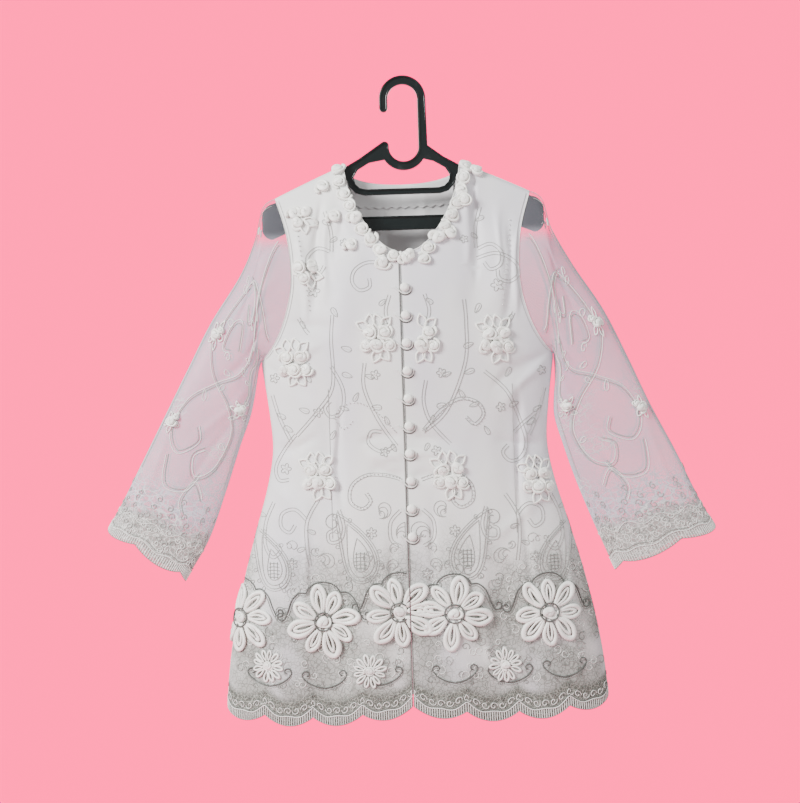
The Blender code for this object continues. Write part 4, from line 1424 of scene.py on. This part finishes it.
embroidered = make_embroidered()
lining = make_lining()
sheer = make_sheer()
ribbon = make_ribbon()
plastic = make_plastic()
# The pale thread is darkened to grey: partly the cords' own tone, partly painted shade along the off-white
# cords.
pale_thread = make_thread("pale_thread", (0.40, 0.40, 0.375), (0.27, 0.27, 0.25))
grey_thread = make_thread("grey_thread", (0.24, 0.245, 0.22), (0.15, 0.155, 0.14))
dark_thread = make_thread("dark_thread", (0.10, 0.105, 0.095), (0.055, 0.06, 0.052))
white_thread = make_thread("white_thread", (0.86, 0.86, 0.82), (0.70, 0.70, 0.66))
pearl = make_pearl()
floor_paper = make_floor_paper()
make_world()


def smooth_line(points, spacing):
    """Points at about this spacing along a smooth line through the given ones."""
    count = len(points)
    made = []
    for k in range(count - 1):
        before = points[max(k - 1, 0)]
        start, end = points[k], points[k + 1]
        after = points[min(k + 2, count - 1)]
        steps = max(round(math.dist(start, end) / spacing), 1)
        for step in range(steps + (k == count - 2)):
            t = step / steps
            made.append(tuple(
                0.5 * (2 * s + (e - b) * t + (2 * b - 5 * s + 4 * e - a) * t * t
                       + (3 * s - b - 3 * e + a) * t ** 3)
                for b, s, e, a in zip(before, start, end, after)
            ))
    return made


def beside(points, distance):
    """A line moved to the left of its run."""
    made = []
    for k, (x, z) in enumerate(points):
        before = points[max(k - 1, 0)]
        after = points[min(k + 1, len(points) - 1)]
        run = Vector((after[0] - before[0], after[1] - before[1]))
        if run.length > 0:
            run.normalize()
        made.append((x - run.y * distance, z + run.x * distance))
    return made


def curl(x, z, radius, start, turns, tight=0.22):
    """A spiral that begins at (x, z) and winds in to a small end. turns below 0 winds clockwise."""
    steps = max(round(abs(turns) * 18), 6)
    side = math.copysign(1, turns)
    heading = math.radians(start)
    centre = (x - side * radius * math.sin(heading), z + side * radius * math.cos(heading))
    made = []
    for k in range(steps + 1):
        share = k / steps
        reach = radius * (1 - (1 - tight) * share ** 1.2)
        turn = heading - side * math.pi / 2 + 2 * math.pi * turns * share
        made.append((centre[0] + reach * math.cos(turn), centre[1] + reach * math.sin(turn)))
    return made


def leaf_line(x, z, length, width, angle):
    """The outline of a small stitched leaf."""
    made = []
    cos, sin = math.cos(math.radians(angle)), math.sin(math.radians(angle))
    for k in range(13):
        turn = 2 * math.pi * k / 12
        run = length * (1 - math.cos(turn)) / 2
        side = width / 2 * math.sin(turn) * (1 - 0.35 * math.cos(turn))
        made.append((x + run * cos - side * sin, z + run * sin + side * cos))
    return made


def small_bloom(x, z, radius, petals):
    """A stitched flower drawn in one line."""
    made = []
    for k in range(petals * 8 + 1):
        turn = 2 * math.pi * k / (petals * 8)
        reach = radius * (0.45 + 0.55 * abs(math.sin(petals * turn / 2)))
        made.append((x + reach * math.cos(turn), z + reach * math.sin(turn)))
    return made


def paisley(x, z, height, lean):
    """Lines of a paisley: a drop with a curled tip, its inner outlines and a small hatch."""
    lines = []
    for scale in (1.0, 0.80, 0.50):
        drop = []
        for k in range(-20, 21):
            share = (1 - abs(k) / 20) ** 1.6
            wide = 0.62 * share ** 0.5 * (1 - share) ** 0.95 if k else 0.0
            bend = lean * (0.50 * (share * scale) ** 2 - 0.16 * share * scale)
            drop.append((x + height * (math.copysign(wide, k) * scale + bend),
                         z + height * (share * scale + 0.28 * (1 - scale) - 0.45)))
        lines.append(drop)
    tip = (x + lean * height * 0.34, z + height * 0.55)
    lines.append(curl(*tip, height * 0.13, 90 - lean * 60, -lean * 1.15))
    for k in range(-2, 3):
        row = z + height * (0.055 * k - 0.16)
        reach = height * (0.10 - 0.012 * abs(k))
        lines.append([(x - reach, row), (x, row + 1.0), (x + reach, row)])
    for k in range(-1, 2):
        lines.append([(x + height * 0.06 * k, z - height * 0.29), (x + height * 0.06 * k, z - height * 0.02)])
    return lines


def arch():
    """A cusped arch over a big flower, its ends curled outwards."""
    half = smooth_line(((0, 55), (11, 53), (20, 47), (24, 40)), 2.5)
    half += smooth_line(((24, 40), (34, 40), (44, 31), (50, 16), (55, 5)), 2.5)
    half += curl(56, 4, 7.0, -40, 0.9)
    return [(-x, z) for x, z in half[::-1]] + half


def bracket(x, z, width):
    """A hanging bracket with a pointed middle and curled ends."""
    half = []
    for k in range(9):
        share = k / 8
        half.append((width / 2 * share, -9 * (1 - share) ** 0.6 + 8 * share ** 3))
    half += curl(half[-1][0], half[-1][1], 6.5, 70, 0.8)
    return [(x - a, z + b) for a, b in half[::-1]] + [(x + a, z + b) for a, b in half[1:]]


# Lines of embroidery on half of the body, from its centre to its side. Both halves share STEMS
STEMS = (
    ((104, -238), (122, -232), (136, -244), (134, -262), (120, -268), (112, -258)),
    ((14, -558), (36, -552), (62, -552), (82, -566), (84, -588), (68, -598), (56, -588), (62, -576)),
    ((192, -436), (182, -470), (167, -502)),
    ((132, -584), (148, -612), (150, -644), (146, -676)),
    ((148, -612), (164, -598), (182, -604), (184, -622), (172, -630), (164, -620)),
    ((104, -598), (98, -622), (104, -640), (118, -642), (120, -630), (112, -626)),
    ((196, -588), (208, -616), (210, -646), (200, -664), (188, -656), (192, -646)),
    ((16, -600), (30, -616), (30, -640), (16, -650)),
    ((108, -182), (100, -212), (100, -240)),
    ((150, -330), (140, -348), (136, -352)),
    ((24, -300), (30, -322), (26, -340)),
)
RIGHT_STEMS = (
    ((36, -254), (54, -254), (70, -264), (74, -280), (64, -292), (50, -288), (50, -276)),
    ((104, -326), (107, -361), (107, -424), (129, -459), (160, -493)),
    ((62, -395), (64, -429), (46, -474), (21, -512)),
    ((107, -400), (92, -432), (94, -462), (110, -470), (118, -458), (110, -448)),
    ((160, -493), (176, -512), (190, -538), (186, -556), (172, -556)),
    ((21, -512), (40, -520), (58, -508), (54, -492), (40, -492)),
)
LEFT_STEMS = (
    ((100, -252), (126, -246), (150, -256), (158, -274), (146, -286), (130, -282), (128, -270)),
    ((82, -309), (84, -342), (81, -397), (54, -462), (20, -492)),
    ((20, -492), (46, -464), (72, -450), (96, -456), (104, -472), (92, -486), (80, -476)),
    ((108, -412), (138, -440), (156, -480), (164, -512), (156, -534), (140, -538), (130, -526), (138, -516)),
    ((176, -471), (160, -484), (145, -498)),
    ((24, -420), (20, -450), (30, -480), (56, -510)),
)
LEAVES = (
    (96, -330, 15, 7, 60), (92, -372, 15, 7, 200), (78, -414, 15, 7, 20), (52, -456, 14, 7, 190),
    (70, -436, 14, 6, 300),
    (60, -412, 13, 6, 200), (84, -460, 14, 6, 20), (104, -488, 14, 6, 300), (136, -420, 15, 7, 60),
    (154, -456, 15, 7, 200), (164, -488, 15, 7, 30), (186, -462, 14, 6, 210), (104, -224, 12, 6, 150),
    (102, -200, 13, 6, 30), (148, -626, 13, 6, 200), (150, -650, 13, 6, 340), (206, -606, 13, 6, 20),
    (34, -470, 13, 6, 250), (20, -520, 12, 6, 60), (28, -308, 12, 6, 320), (142, -344, 12, 6, 60),
)
BLOOMS = (
    (128, -292, 9, 5), (46, -412, 7, 5), (176, -540, 8, 5), (36, -520, 7, 5), (58, -632, 8, 6),
    (170, -672, 8, 6),
    (232, -700, 8, 6), (18, -690, 8, 6), (128, -462, 7, 5), (188, -412, 7, 5), (84, -226, 6, 5),
)
PAISLEYS = ((74, -656, 92, 1), (196, -668, 86, 1))
SMALL_CURLS = (
    (30, -660, 9, 30, 0.9), (44, -684, 8, 150, -0.9), (56, -664, 8, 260, 1.0), (140, -690, 9, 200, 0.9),
    (152, -704, 8, 20, -0.9), (176, -646, 9, 100, 0.9), (132, -660, 7, 320, 0.9), (62, -700, 7, 60, 0.9),
    (240, -672, 8, 120, -0.9), (246, -728, 8, 200, 0.9), (14, -716, 7, 80, -0.9), (118, -796, 9, 120, 0.9),
    (96, -800, 8, 30, -0.9), (150, -812, 8, 200, 0.9), (28, -808, 9, 160, 0.9), (84, -788, 7, 300, 0.9),
    (178, -806, 9, 20, -0.9), (236, -800, 8, 100, 0.9), (222, -820, 7, 220, -0.9), (44, -818, 7, 10, 0.9),
    (250, -770, 8, 260, 0.9), (110, -728, 8, 0, 0.9), (124, -744, 7, 180, 0.9), (108, -762, 7, 90, -0.9),
)
BIG_CURLS = (
    (22, -640, 17, 60, 1.0), (46, -612, 14, 200, -1.0), (134, -664, 15, 120, 0.9), (120, -700, 13, 300, -0.9),
    (34, -688, 12, 30, 0.9), (232, -724, 12, 90, 0.9), (160, -706, 12, 250, 0.9),
)
BRACKETS = ((52, -832, 62), (129, -836, 62), (206, -832, 62))


class Cords:
    """Stitched cords on one panel, kept as lines until they are made one mesh."""

    def __init__(self):
        self.lines = {}

    def add(self, finish, thickness, points):
        if len(points) > 1:
            self.lines.setdefault((finish, thickness), []).append(points)

    def make(self, name):
        made = []
        for number, ((material, thickness), lines) in enumerate(self.lines.items()):
            curve = bpy.data.curves.new(name, "CURVE")
            curve.dimensions = "3D"
            curve.bevel_depth = thickness / 2 * MM
            curve.bevel_resolution = 1 if thickness > 1.6 else 0
            curve.use_fill_caps = True
            for line in lines:
                spline = curve.splines.new("POLY")
                spline.points.add(len(line) - 1)
                for point, place in zip(spline.points, line):
                    point.co = ((place.x + CENTRE_X) * MM, place.y * MM, place.z * MM, 1)
            mesh = mesh_of_curve(name, curve)
            mesh.name = name
            made.append(lay_mesh(name + "_" + str(number + 1), mesh, material))
        return made


def on_panel(points, side_x, at_back, lift):
    """Lays a line of (x, z) points on half of the body."""
    made = []
    for x, z in points:
        x = max(x, 3.0 if at_back else (OPENING_X * side_x + 4.0))
        made.append(on_body(side_x * body_arc(x, z), z, lift, at_back))
    return made


def hem_spot(side_x, at_back, share, rise, lift):
    """A point above the cloth, this far above its scalloped hem."""
    z = hem_z(share) + rise
    inner = 0.0 if at_back else arc_of_angle(angle_at(side_x * OPENING_X + 1.2, z))
    arc = (inner + (QUARTER - inner) * share) * half_width(z)
    return on_body(side_x * arc, z, lift, at_back)


# The lace of the hem
HEM_STEPS = 110
HEM_STITCHES = 88
HEM_CURLS = 24
HEM_HALF_WIDTH = 268


def lay_hem(cords, side_x, at_back):
    """The lace along the hem: edge cord, upright stitches, a wavy cord and rows of small curls."""
    shares = [k / HEM_STEPS for k in range(HEM_STEPS + 1)]
    width = QUARTER * HEM_HALF_WIDTH

    def wave(share):
        return 1.6 * math.sin(2 * math.pi * (SCALLOPS_A_QUARTER * 2 * share + 0.25))

    def lay(finish, thickness, shape, lift):
        cords.add(finish, thickness, [hem_spot(side_x, at_back, share, rise, lift) for share, rise in shape])

    def lay_curl(finish, thickness, middle, shape):
        lay(finish, thickness, [(min(max(middle + x / width, 0.003), 0.997), rise) for x, rise in shape], 0.6)

    lay(grey_thread, 1.3, [(share, 1.0) for share in shares], 0.3)
    lay(white_thread, 1.5, [(share, 12.5 + wave(share)) for share in shares], 0.7)
    lay(grey_thread, 0.9, [(share, 12.5 + wave(share) + 2.6) for share in shares], 0.5)
    for k in range(HEM_STITCHES):
        share = (k + 0.5) / HEM_STITCHES
        top = 11.5 + wave(share)
        lay(white_thread, 1.2, [(share, rise) for rise in (0.8, top / 2, top)], 0.5)
    for k in range(HEM_CURLS):
        middle = (k + 0.5) / HEM_CURLS
        large = curl(0, 21, 5.2, 90 if k % 2 else 270, 1.05 if k % 2 else -1.05)
        lay_curl(white_thread, 1.1, middle, [(x, max(rise, 15.5)) for x, rise in large])
        small = curl(0, 27, 3.0, 0, 0.9 if k % 2 else -0.9)
        lay_curl(grey_thread, 0.9, middle + 0.5 / HEM_CURLS, small)


LOOSE_CURLS = 110


def lay_embroidery(name, side_x, at_back):
    """Every stitched line on half of the body."""
    cords = Cords()
    vary = random.Random(7 if side_x > 0 else 11)

    def moved(points, x, z):
        return [(px + x, pz + z) for px, pz in points]

    def lay(finish, thickness, line, lift=0.35):
        cords.add(finish, thickness, on_panel(line, side_x, at_back, lift))

    for stem in STEMS + (RIGHT_STEMS if side_x < 0 and not at_back else LEFT_STEMS):
        line = moved(smooth_line(stem, 3.0), vary.uniform(-2, 2), vary.uniform(-2, 2))
        for aside in (-2.1, 2.1):
            lay(pale_thread, 0.95, beside(line, aside))
    for x, z, length, width, angle in LEAVES:
        lay(pale_thread, 1.0, leaf_line(x, z, length, width, angle))
        run = math.radians(angle)
        vein = [(x + length * s * math.cos(run), z + length * s * math.sin(run)) for s in (0.15, 0.5, 0.85)]
        lay(white_thread, 0.9, vein, 0.5)
    for x, z, radius, petals in BLOOMS:
        lay(pale_thread, 1.0, small_bloom(x, z, radius, petals), 0.4)
        lay(white_thread, 1.0, curl(x + 2, z, 2.2, 90, 1.0), 0.7)
    for x, z, height, lean in PAISLEYS:
        outline, *inner = paisley(x, z, height, lean)
        lay(pale_thread, 1.25, outline, 0.4)
        lay(pale_thread, 0.9, beside(outline, 3.2), 0.4)
        for px, pz in outline[3:39:3]:
            out = Vector((px - x, pz - z)).normalized()
            angle = math.degrees(math.atan2(out.y, out.x))
            lay(pale_thread, 0.8, leaf_line(px + out.x * 3.4, pz + out.y * 3.4, 6, 4.5, angle), 0.4)
        for line in inner[:3]:
            lay(pale_thread, 1.25, line, 0.4)
        for line in inner[3:]:
            lay(grey_thread, 1.0, line, 0.4)
    for x, z, radius, start, turns in SMALL_CURLS:
        lay(pale_thread, 1.0, curl(x + vary.uniform(-2, 2), z + vary.uniform(-2, 2), radius, start, turns))
        lay(pale_thread, 0.8, curl(x + 2, z + 2, radius * 0.6, start + 40, turns))
    for _ in range(LOOSE_CURLS):
        x, z = vary.uniform(12, 262), vary.uniform(-840, -688)
        line = curl(x, z, vary.uniform(4.5, 8), vary.uniform(0, 360), vary.choice((-1.0, 1.0)))
        lay(vary.choice((grey_thread, white_thread, white_thread)), 1.0, line, 0.3)
    for x, z, radius, start, turns in BIG_CURLS:
        for shrink in (1.0, 0.72, 0.45):
            lay(pale_thread, 1.0, curl(x, z, radius * shrink, start, turns))
    for x, z, width in BRACKETS:
        lay(dark_thread, 1.9, bracket(x, z, width), 0.5)
        lay(pale_thread, 1.0, moved(bracket(x, z, width), 0, -3), 0.4)
        for k in range(-2, 3):
            lay(grey_thread, 0.9, curl(x + 9 * k, z - 10, 3.8, 90, 0.9 if k % 2 else -0.9), 0.4)
    lay_hem(cords, side_x, at_back)
    if not at_back:
        # The grey cord down each front's opening edge is partly its binding, partly painted shade of the gap
        # between the two fronts.
        edge = [(side_x * OPENING_X + 1.3, z) for z in range(-250, -868, -6)]
        cords.add(grey_thread, 1.2, [on_body(side_x * body_arc(x, z), z, 0.3) for x, z in edge])
    return cords.make(name)


# Radius of the painted shadow ring round each big flower's centre rose
ROSE_SHADOW_RADIUS = 12.6


def lay_arches(name, spots, at_back, half_side):
    """The dark cusped cords over the big flowers, and a dark ring round each centre rose that is a painted
    shadow.
    """
    cords = Cords()
    for spot in spots:
        place = body_place(spot.x, spot.z, at_back)
        cut = spot.cut
        pieces = [[]]
        for x, z in arch():
            arc = body_arc(spot.x, spot.z) + x
            past = abs(arc) > QUARTER * half_width(spot.z + z) - 1
            if past or not at_back and (arc - OPENING_X) * half_side < 4:
                pieces.append([])
            else:
                pieces[-1].append((x, z))
        # A dark cord ring round each flower's centre rose, lifted onto its petals, is a painted shadow of the
        # rose.
        turns = [2 * math.pi * k / 24 for k in range(25)]
        ring = [(ROSE_SHADOW_RADIUS * math.cos(turn), ROSE_SHADOW_RADIUS * math.sin(turn)) for turn in turns]
        cords.add(dark_thread, 2.2, [place(x, z, 5.2) for x, z in ring if not (cut and x > cut - 3)])
        for piece in pieces:
            cords.add(dark_thread, 2.0, [place(x, z, 0.5) for x, z in piece])
            cords.add(grey_thread, 1.0, [place(x, z, 0.4) for x, z in beside(piece, -3.2)])
    return cords.make(name)


# Lines of embroidery on a sleeve, as (angle from the outer edge in degrees, station)
SLEEVE_STEMS = (
    ((63, 1.15), (70, 1.6), (95, 2.6), (118, 3.8), (112, 5.0), (80, 5.9), (52, 6.5), (46, 7.1), (70, 7.5),
     (92, 7.2), (84, 6.9)),
    ((134, 1.35), (126, 1.8), (98, 2.4), (70, 3.2), (52, 4.2), (48, 5.0)),
    ((46, 5.2), (74, 5.7), (112, 6.1), (136, 6.8), (128, 7.6), (104, 7.9), (92, 7.5), (104, 7.3)),
    ((134, 6.0), (144, 5.2), (132, 4.3), (142, 3.4), (134, 2.8)),
    ((60, 3.4), (84, 3.0), (96, 3.4), (88, 3.9), (76, 3.7)),
    ((96, 4.6), (80, 4.2), (66, 4.5), (70, 5.0), (82, 4.9)),
    ((58, 7.6), (72, 8.2), (98, 8.2), (110, 7.8)),
    ((124, 8.3), (108, 8.0), (98, 8.4), (106, 8.7)),
)
SLEEVE_LEAVES = (
    (98, 2.9, 15, 7, 30), (112, 3.5, 15, 7, 330), (112, 4.4, 14, 7, 40), (98, 5.3, 14, 7, 200),
    (70, 6.1, 14, 7, 300), (60, 3.8, 14, 7, 200), (54, 4.6, 14, 7, 20), (90, 5.9, 13, 6, 60),
    (120, 6.4, 13, 6, 30), (132, 7.2, 13, 6, 160), (138, 4.8, 13, 6, 200), (140, 5.6, 13, 6, 20),
)


def sleeve_laid(side, at_back):
    """Gives points above a sleeve's cloth from an angle in degrees and a station, scalloped cuff included."""
    side_x = -1 if side == "right" else 1
    curves = sleeve_curves(side)

    def place(degrees, station, lift):
        angle = math.radians(360 - degrees if at_back else degrees)

        def at(turn, more):
            return hung_sleeve(curves, station + more, angle + turn, side_x)

        here = at(0, 0)
        out = (at(0.02, 0) - at(-0.02, 0)).cross(at(0, -0.02) - at(0, 0)).normalized()
        outer, inner = (sleeve_point(curves, station, edge, side_x) for edge in (0, math.pi))
        return here + out * math.copysign(lift, out.dot(here - (outer + inner) / 2))

    return place


# Millimetres of sleeve between stations and in a radian round it
A_STATION = 54.0
A_RADIAN = 68.0
CUFF_STITCHES = 54


def lay_sleeve(name, side, at_back):
    """Every stitched line on the front or back of a sleeve."""
    cords = Cords()
    place = sleeve_laid(side, at_back)
    last = len(SLEEVE_STATIONS[side]) - 1

    def lay(finish, thickness, middle, station, shape, lift=0.35):
        """Lays (x, rise) points in millimetres about a place on the sleeve."""
        points = []
        for x, rise in shape:
            turn = min(max(middle + math.degrees(x / A_RADIAN), 2), 178)
            points.append(place(turn, min(station - rise / A_STATION, last), lift))
        cords.add(finish, thickness, points)

    for stem in SLEEVE_STEMS:
        flat = [(math.radians(angle) * A_RADIAN, -station * A_STATION) for angle, station in stem]
        line = smooth_line(flat, 3.5)
        for aside, finish in ((-1.8, white_thread), (1.8, pale_thread)):
            lay(finish, 1.3, 0, 0, beside(line, aside))
    for angle, station, length, width, turn in SLEEVE_LEAVES:
        lay(white_thread, 1.3, angle, station, leaf_line(0, 0, length, width, turn))
    for k in range(6):
        shape = curl(0, 0, 7, 60 * k, 1.0 if k % 2 else -1.0)
        lay(white_thread, 1.3, 34 + 22 * k, 2.4 + 1.0 * (k % 3) + 0.35 * k, shape)
    steps = 64
    degrees = [2 + 176 * k / steps for k in range(steps + 1)]

    def ring(rise, lift, wave=0.0):
        points = []
        for angle in degrees:
            high = rise + wave * math.sin(math.radians(angle) * CUFF_SCALLOPS * 2)
            points.append(place(angle, last - high / A_STATION, lift))
        return points

    cords.add(grey_thread, 1.3, ring(0.6, 0.2))
    cords.add(white_thread, 1.5, ring(12.5, 0.6, 1.5))
    cords.add(grey_thread, 0.9, ring(15.5, 0.4, 1.5))
    cords.add(white_thread, 1.1, ring(40.0, 0.5, 4.0))
    for k in range(CUFF_STITCHES):
        angle = 3 + 174 * (k + 0.5) / CUFF_STITCHES
        cords.add(white_thread, 1.1, [place(angle, last - rise / A_STATION, 0.4) for rise in (0.6, 6, 11.5)])
    for row, (rise, radius, count, finish) in enumerate((
        (21, 4.6, 14, white_thread), (29, 4.8, 13, pale_thread), (37, 4.4, 14, white_thread),
        (47, 5.2, 11, pale_thread), (58, 5.0, 9, pale_thread), (70, 4.6, 7, pale_thread),
        (82, 4.4, 5, pale_thread),
    )):
        for k in range(count):
            angle = 8 + 164 * (k + 0.5 * (row % 2)) / count
            drift = 6 * math.sin(math.radians(angle) * 5) if row > 2 else 0
            shape = curl(0, 0, radius, 90 * (k + row), 1.1 if (k + row) % 2 else -1.1)
            lay(finish, 1.1, angle, last - (rise + drift) / A_STATION, shape, 0.5)
    for start_angle, end_angle in ((24, 18), (150, 158)):
        line = [(start_angle + (end_angle - start_angle) * k / 30, 1.2 + 6.8 * k / 30) for k in range(31)]
        cords.add(pale_thread, 0.9, [place(angle, station, 0.3) for angle, station in line])
    return cords.make(name)


FRONT_DART_X = {-1: 112, 1: 145}
BACK_DART_X = 90


def lay_seams():
    """Piped edges of the neck, the stitched armholes, darts and sides, and the button loops with a painted
    shadow under each.
    """
    cords = Cords()
    for side_x in (-1, 1):
        neck = [along(FRONT_NECKLINE, k / 30) for k in range(31)]
        cords.add(white_thread, 1.5, [on_body(side_x * body_arc(p.x, p.z), p.z, 0.2) for p in neck])
        neck = [along(BACK_NECKLINE, k / 24) for k in range(25)]
        arcs = [(side_x * body_arc(p.x, p.z), p.z - 0.8) for p in neck]
        cords.add(white_thread, 1.3, [on_body(arc, z, 0.1, True) for arc, z in arcs])
        for at_back in (False, True):
            for inset, thickness, finish in ((0.4, 1.3, white_thread), (4.5, 0.7, pale_thread)):
                hole = [along(ARMHOLE, 0.02 + 0.96 * k / 50) for k in range(51)]
                arcs = [(side_x * body_arc(p.x - inset, p.z), p.z) for p in hole]
                cords.add(finish, thickness, [on_body(arc, z, 0.3, at_back) for arc, z in arcs])
            dart_x = BACK_DART_X if at_back else FRONT_DART_X[side_x]
            dart = [(side_x * dart_x, z) for z in range(-430, -640, -8)]
            cords.add(pale_thread, 0.7, [on_body(body_arc(x, z), z, 0.5, at_back) for x, z in dart])
        side = range(-392, -880, -8)
        cords.add(white_thread, 1.0, [on_body(side_x * QUARTER * half_width(z), z, 0.2) for z in side])
    for k in range(BUTTONS):
        z = TOP_BUTTON_Z - BUTTON_PITCH * k
        loop = ((-16, z + 1), (-9, z - 4), (-4, z - 8), (2, z - 8.6), (7, z - 5), (8, z + 1))
        cords.add(white_thread, 2.0, [on_body(body_arc(x, up), up, 1.4) for x, up in smooth_line(loop, 2.0)])
        # A dark cord just below each loop is a painted shadow of the loop and its button.
        under = [(x * 1.06, up - 1.9) for x, up in smooth_line(loop[1:], 2.0)]
        cords.add(dark_thread, 1.5, [on_body(body_arc(x, up), up, 0.5) for x, up in under])
    return cords.make("seams")


def make_beads(name, spots):
    """Small glass beads at the given points."""
    bead = bmesh.new()
    bmesh.ops.create_uvsphere(bead, u_segments=6, v_segments=4, radius=1.0)
    unit = mesh_of(bead, "bead")
    bm = bmesh.new()
    for place, radius in spots:
        add_unit(bm, unit, lambda co: place + co * radius)
    bpy.data.meshes.remove(unit)
    return make_piece(name, bm, pearl)


def bead_line(points, side_x, at_back, pitch):
    return [(place, 0.95) for place in on_panel(smooth_line(points, pitch), side_x, at_back, 1.0)]


def make_all_beads():
    front = []
    behind = []
    for spot in FRONT_CLUSTERS + BACK_CLUSTERS:
        at_back = spot in BACK_CLUSTERS
        place = body_place(spot.x, spot.z, at_back)
        for _ in range(14):
            turn = chance.uniform(0, 2 * math.pi)
            reach = chance.uniform(6, 26)
            x, up = reach * math.cos(turn), reach * math.sin(turn)
            if spot.cut and x < spot.cut + 3:
                continue
            (behind if at_back else front).append((place(x, up, 1.0), chance.uniform(0.8, 1.3)))
    for side_x in (-1, 1):
        for at_back in (False, True):
            for stem in (LEFT_STEMS[2], STEMS[1]):
                spots = bead_line(stem, side_x, at_back, 5.0)
                (behind if at_back else front).extend(spots)
        strand = [(150 - k * 0.9, -200 - k * 7.0) for k in range(18)]
        front += [(on_body(side_x * body_arc(x, z), z, 1.0), 1.0) for x, z in strand]
    return make_beads("beads_front", front), make_beads("beads_back", behind)



def make_stage():
    """A plain pale floor well below the hem."""
    bm = bmesh.new()
    bmesh.ops.create_circle(bm, cap_ends=True, radius=FLOOR_RADIUS, segments=96)
    mesh = mesh_of(bm, "floor")
    mesh.transform(Matrix.Translation((0, 0, FLOOR_Z)))
    mesh.materials.append(floor_paper)
    floor = bpy.data.objects.new("floor", mesh)
    bpy.context.scene.collection.objects.link(floor)


def add_light(name, place, target, size, power):
    data = bpy.data.lights.new(name, "AREA")
    data.shape = "RECTANGLE"
    data.size, data.size_y = size
    data.energy = power
    light = bpy.data.objects.new(name, data)
    light.location = place
    light.rotation_mode = "QUATERNION"
    light.rotation_quaternion = (Vector(target) - Vector(place)).to_track_quat("-Z", "Y")
    bpy.context.scene.collection.objects.link(light)


def make_camera():
    data = bpy.data.cameras.new("camera")
    data.sensor_fit = "HORIZONTAL"
    data.sensor_width = SENSOR
    data.lens = SENSOR * VIEW_DISTANCE / VIEW_WIDTH
    camera = bpy.data.objects.new("camera", data)
    up = Vector((math.sin(VIEW_ROLL), 0, math.cos(VIEW_ROLL)))
    right = Vector((0, 1, 0)).cross(up)
    basis = Matrix((right, up, Vector((0, -1, 0)))).transposed()
    camera.rotation_mode = "QUATERNION"
    camera.rotation_quaternion = basis.to_quaternion()
    camera.location = VIEW_CENTRE - Vector((0, VIEW_DISTANCE, 0))
    bpy.context.scene.collection.objects.link(camera)
    bpy.context.scene.camera = camera


front_right = make_front("front_right_cloth", -1, embroidered, lining, ["front_right"])
front_left = make_front("front_left_cloth", 1, embroidered, lining, ["front_left"])
back = make_back("back_cloth", embroidered, lining, ["back"])
facing = make_facing("back_neck_facing_cloth", lining, ["back_neck_facing"])
sleeve_right = make_sleeve("sleeve_right_cloth", "right", sheer, ["sleeve_right"])
sleeve_left = make_sleeve("sleeve_left_cloth", "left", sheer, ["sleeve_left"])
make_hanger(plastic)

on_right, on_left, on_back = [], [], []
on_sleeve = {"right": [], "left": []}
on_right.append(make_neck_roses("neck_roses_right", "right", ribbon, ["neck_rosettes_right"]))
on_left.append(make_neck_roses("neck_roses_left", "left", ribbon, ["neck_rosettes_left"]))


def front_list(spot):
    return on_right if spot.x < OPENING_X else on_left


for spots, at_back, domes in ((FRONT_CLUSTERS, False, CLUSTER), (SHOULDER_CLUSTERS, False, SMALL_CLUSTER),
                              (BACK_CLUSTERS, True, CLUSTER)):
    for spot in spots:
        bm = bmesh.new()
        make_cluster(bm, body_place(spot.x, spot.z, at_back), domes, spot.cut)
        piece = make_piece(spot.name + "_ribbon", bm, ribbon, [spot.name])
        (on_back if at_back else front_list(spot)).append(piece)
for spots, at_back, maker, diameter, height in (
    (FRONT_FLOWERS, False, make_big_flower, BIG_FLOWER, 5),
    (BACK_FLOWERS, True, make_big_flower, BIG_FLOWER, 5),
    (FRONT_SMALL_FLOWERS, False, make_small_flower, SMALL_FLOWER, 4),
    (BACK_SMALL_FLOWERS, True, make_small_flower, SMALL_FLOWER, 4),
):
    for spot in spots:
        bm = bmesh.new()
        maker(bm, body_place(spot.x, spot.z, at_back), diameter, height)
        if spot.cut:
            cut_at_opening(bm)
        piece = make_piece(spot.name + "_ribbon", bm, ribbon, [spot.name])
        (on_back if at_back else front_list(spot)).append(piece)
for spot in SLEEVE_BUDS:
    bm = bmesh.new()
    make_bud(bm, sleeve_place(spot.side, spot.station, math.radians(spot.angle)), BUD, ROSETTE_HEIGHT)
    on_sleeve[spot.side].append(make_piece(spot.name + "_ribbon", bm, ribbon, [spot.name]))
for k in range(BUTTONS):
    name = "button_" + str(k + 1)
    on_left.append(make_button(name + "_covered", TOP_BUTTON_Z - BUTTON_PITCH * k, ribbon, [name]))
on_right += lay_embroidery("embroidery_front_right", -1, at_back=False)
on_left += lay_embroidery("embroidery_front_left", 1, at_back=False)
on_back += lay_embroidery("embroidery_back_right", -1, at_back=True)
on_back += lay_embroidery("embroidery_back_left", 1, at_back=True)
on_right += lay_arches("arches_right", [spot for spot in FRONT_FLOWERS if spot.x < OPENING_X], False, -1)
on_left += lay_arches("arches_left", [spot for spot in FRONT_FLOWERS if spot.x > OPENING_X], False, 1)
on_back += lay_arches("arches_back", BACK_FLOWERS, True, 0)
for side in ("right", "left"):
    for at_back in (False, True):
        name = "embroidery_sleeve_" + side + ("_back" if at_back else "_front")
        on_sleeve[side] += lay_sleeve(name, side, at_back)
on_right += lay_seams()
beads_front, beads_back = make_all_beads()
on_left.append(beads_front)
on_back.append(beads_back)

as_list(on_right)
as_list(on_left)
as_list(on_back)
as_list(on_sleeve["right"])
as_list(on_sleeve["left"])

make_stage()
make_camera()
add_light("key", (-2.1, -1.8, 0.9), LIGHT_TARGET, (1.2, 1.2), 225)
add_light("fill", (1.9, -1.9, 0.2), LIGHT_TARGET, (2.0, 2.4), 42)
add_light("back_fill", (0.4, 2.6, 1.0), LIGHT_TARGET, (2.4, 2.0), 40)
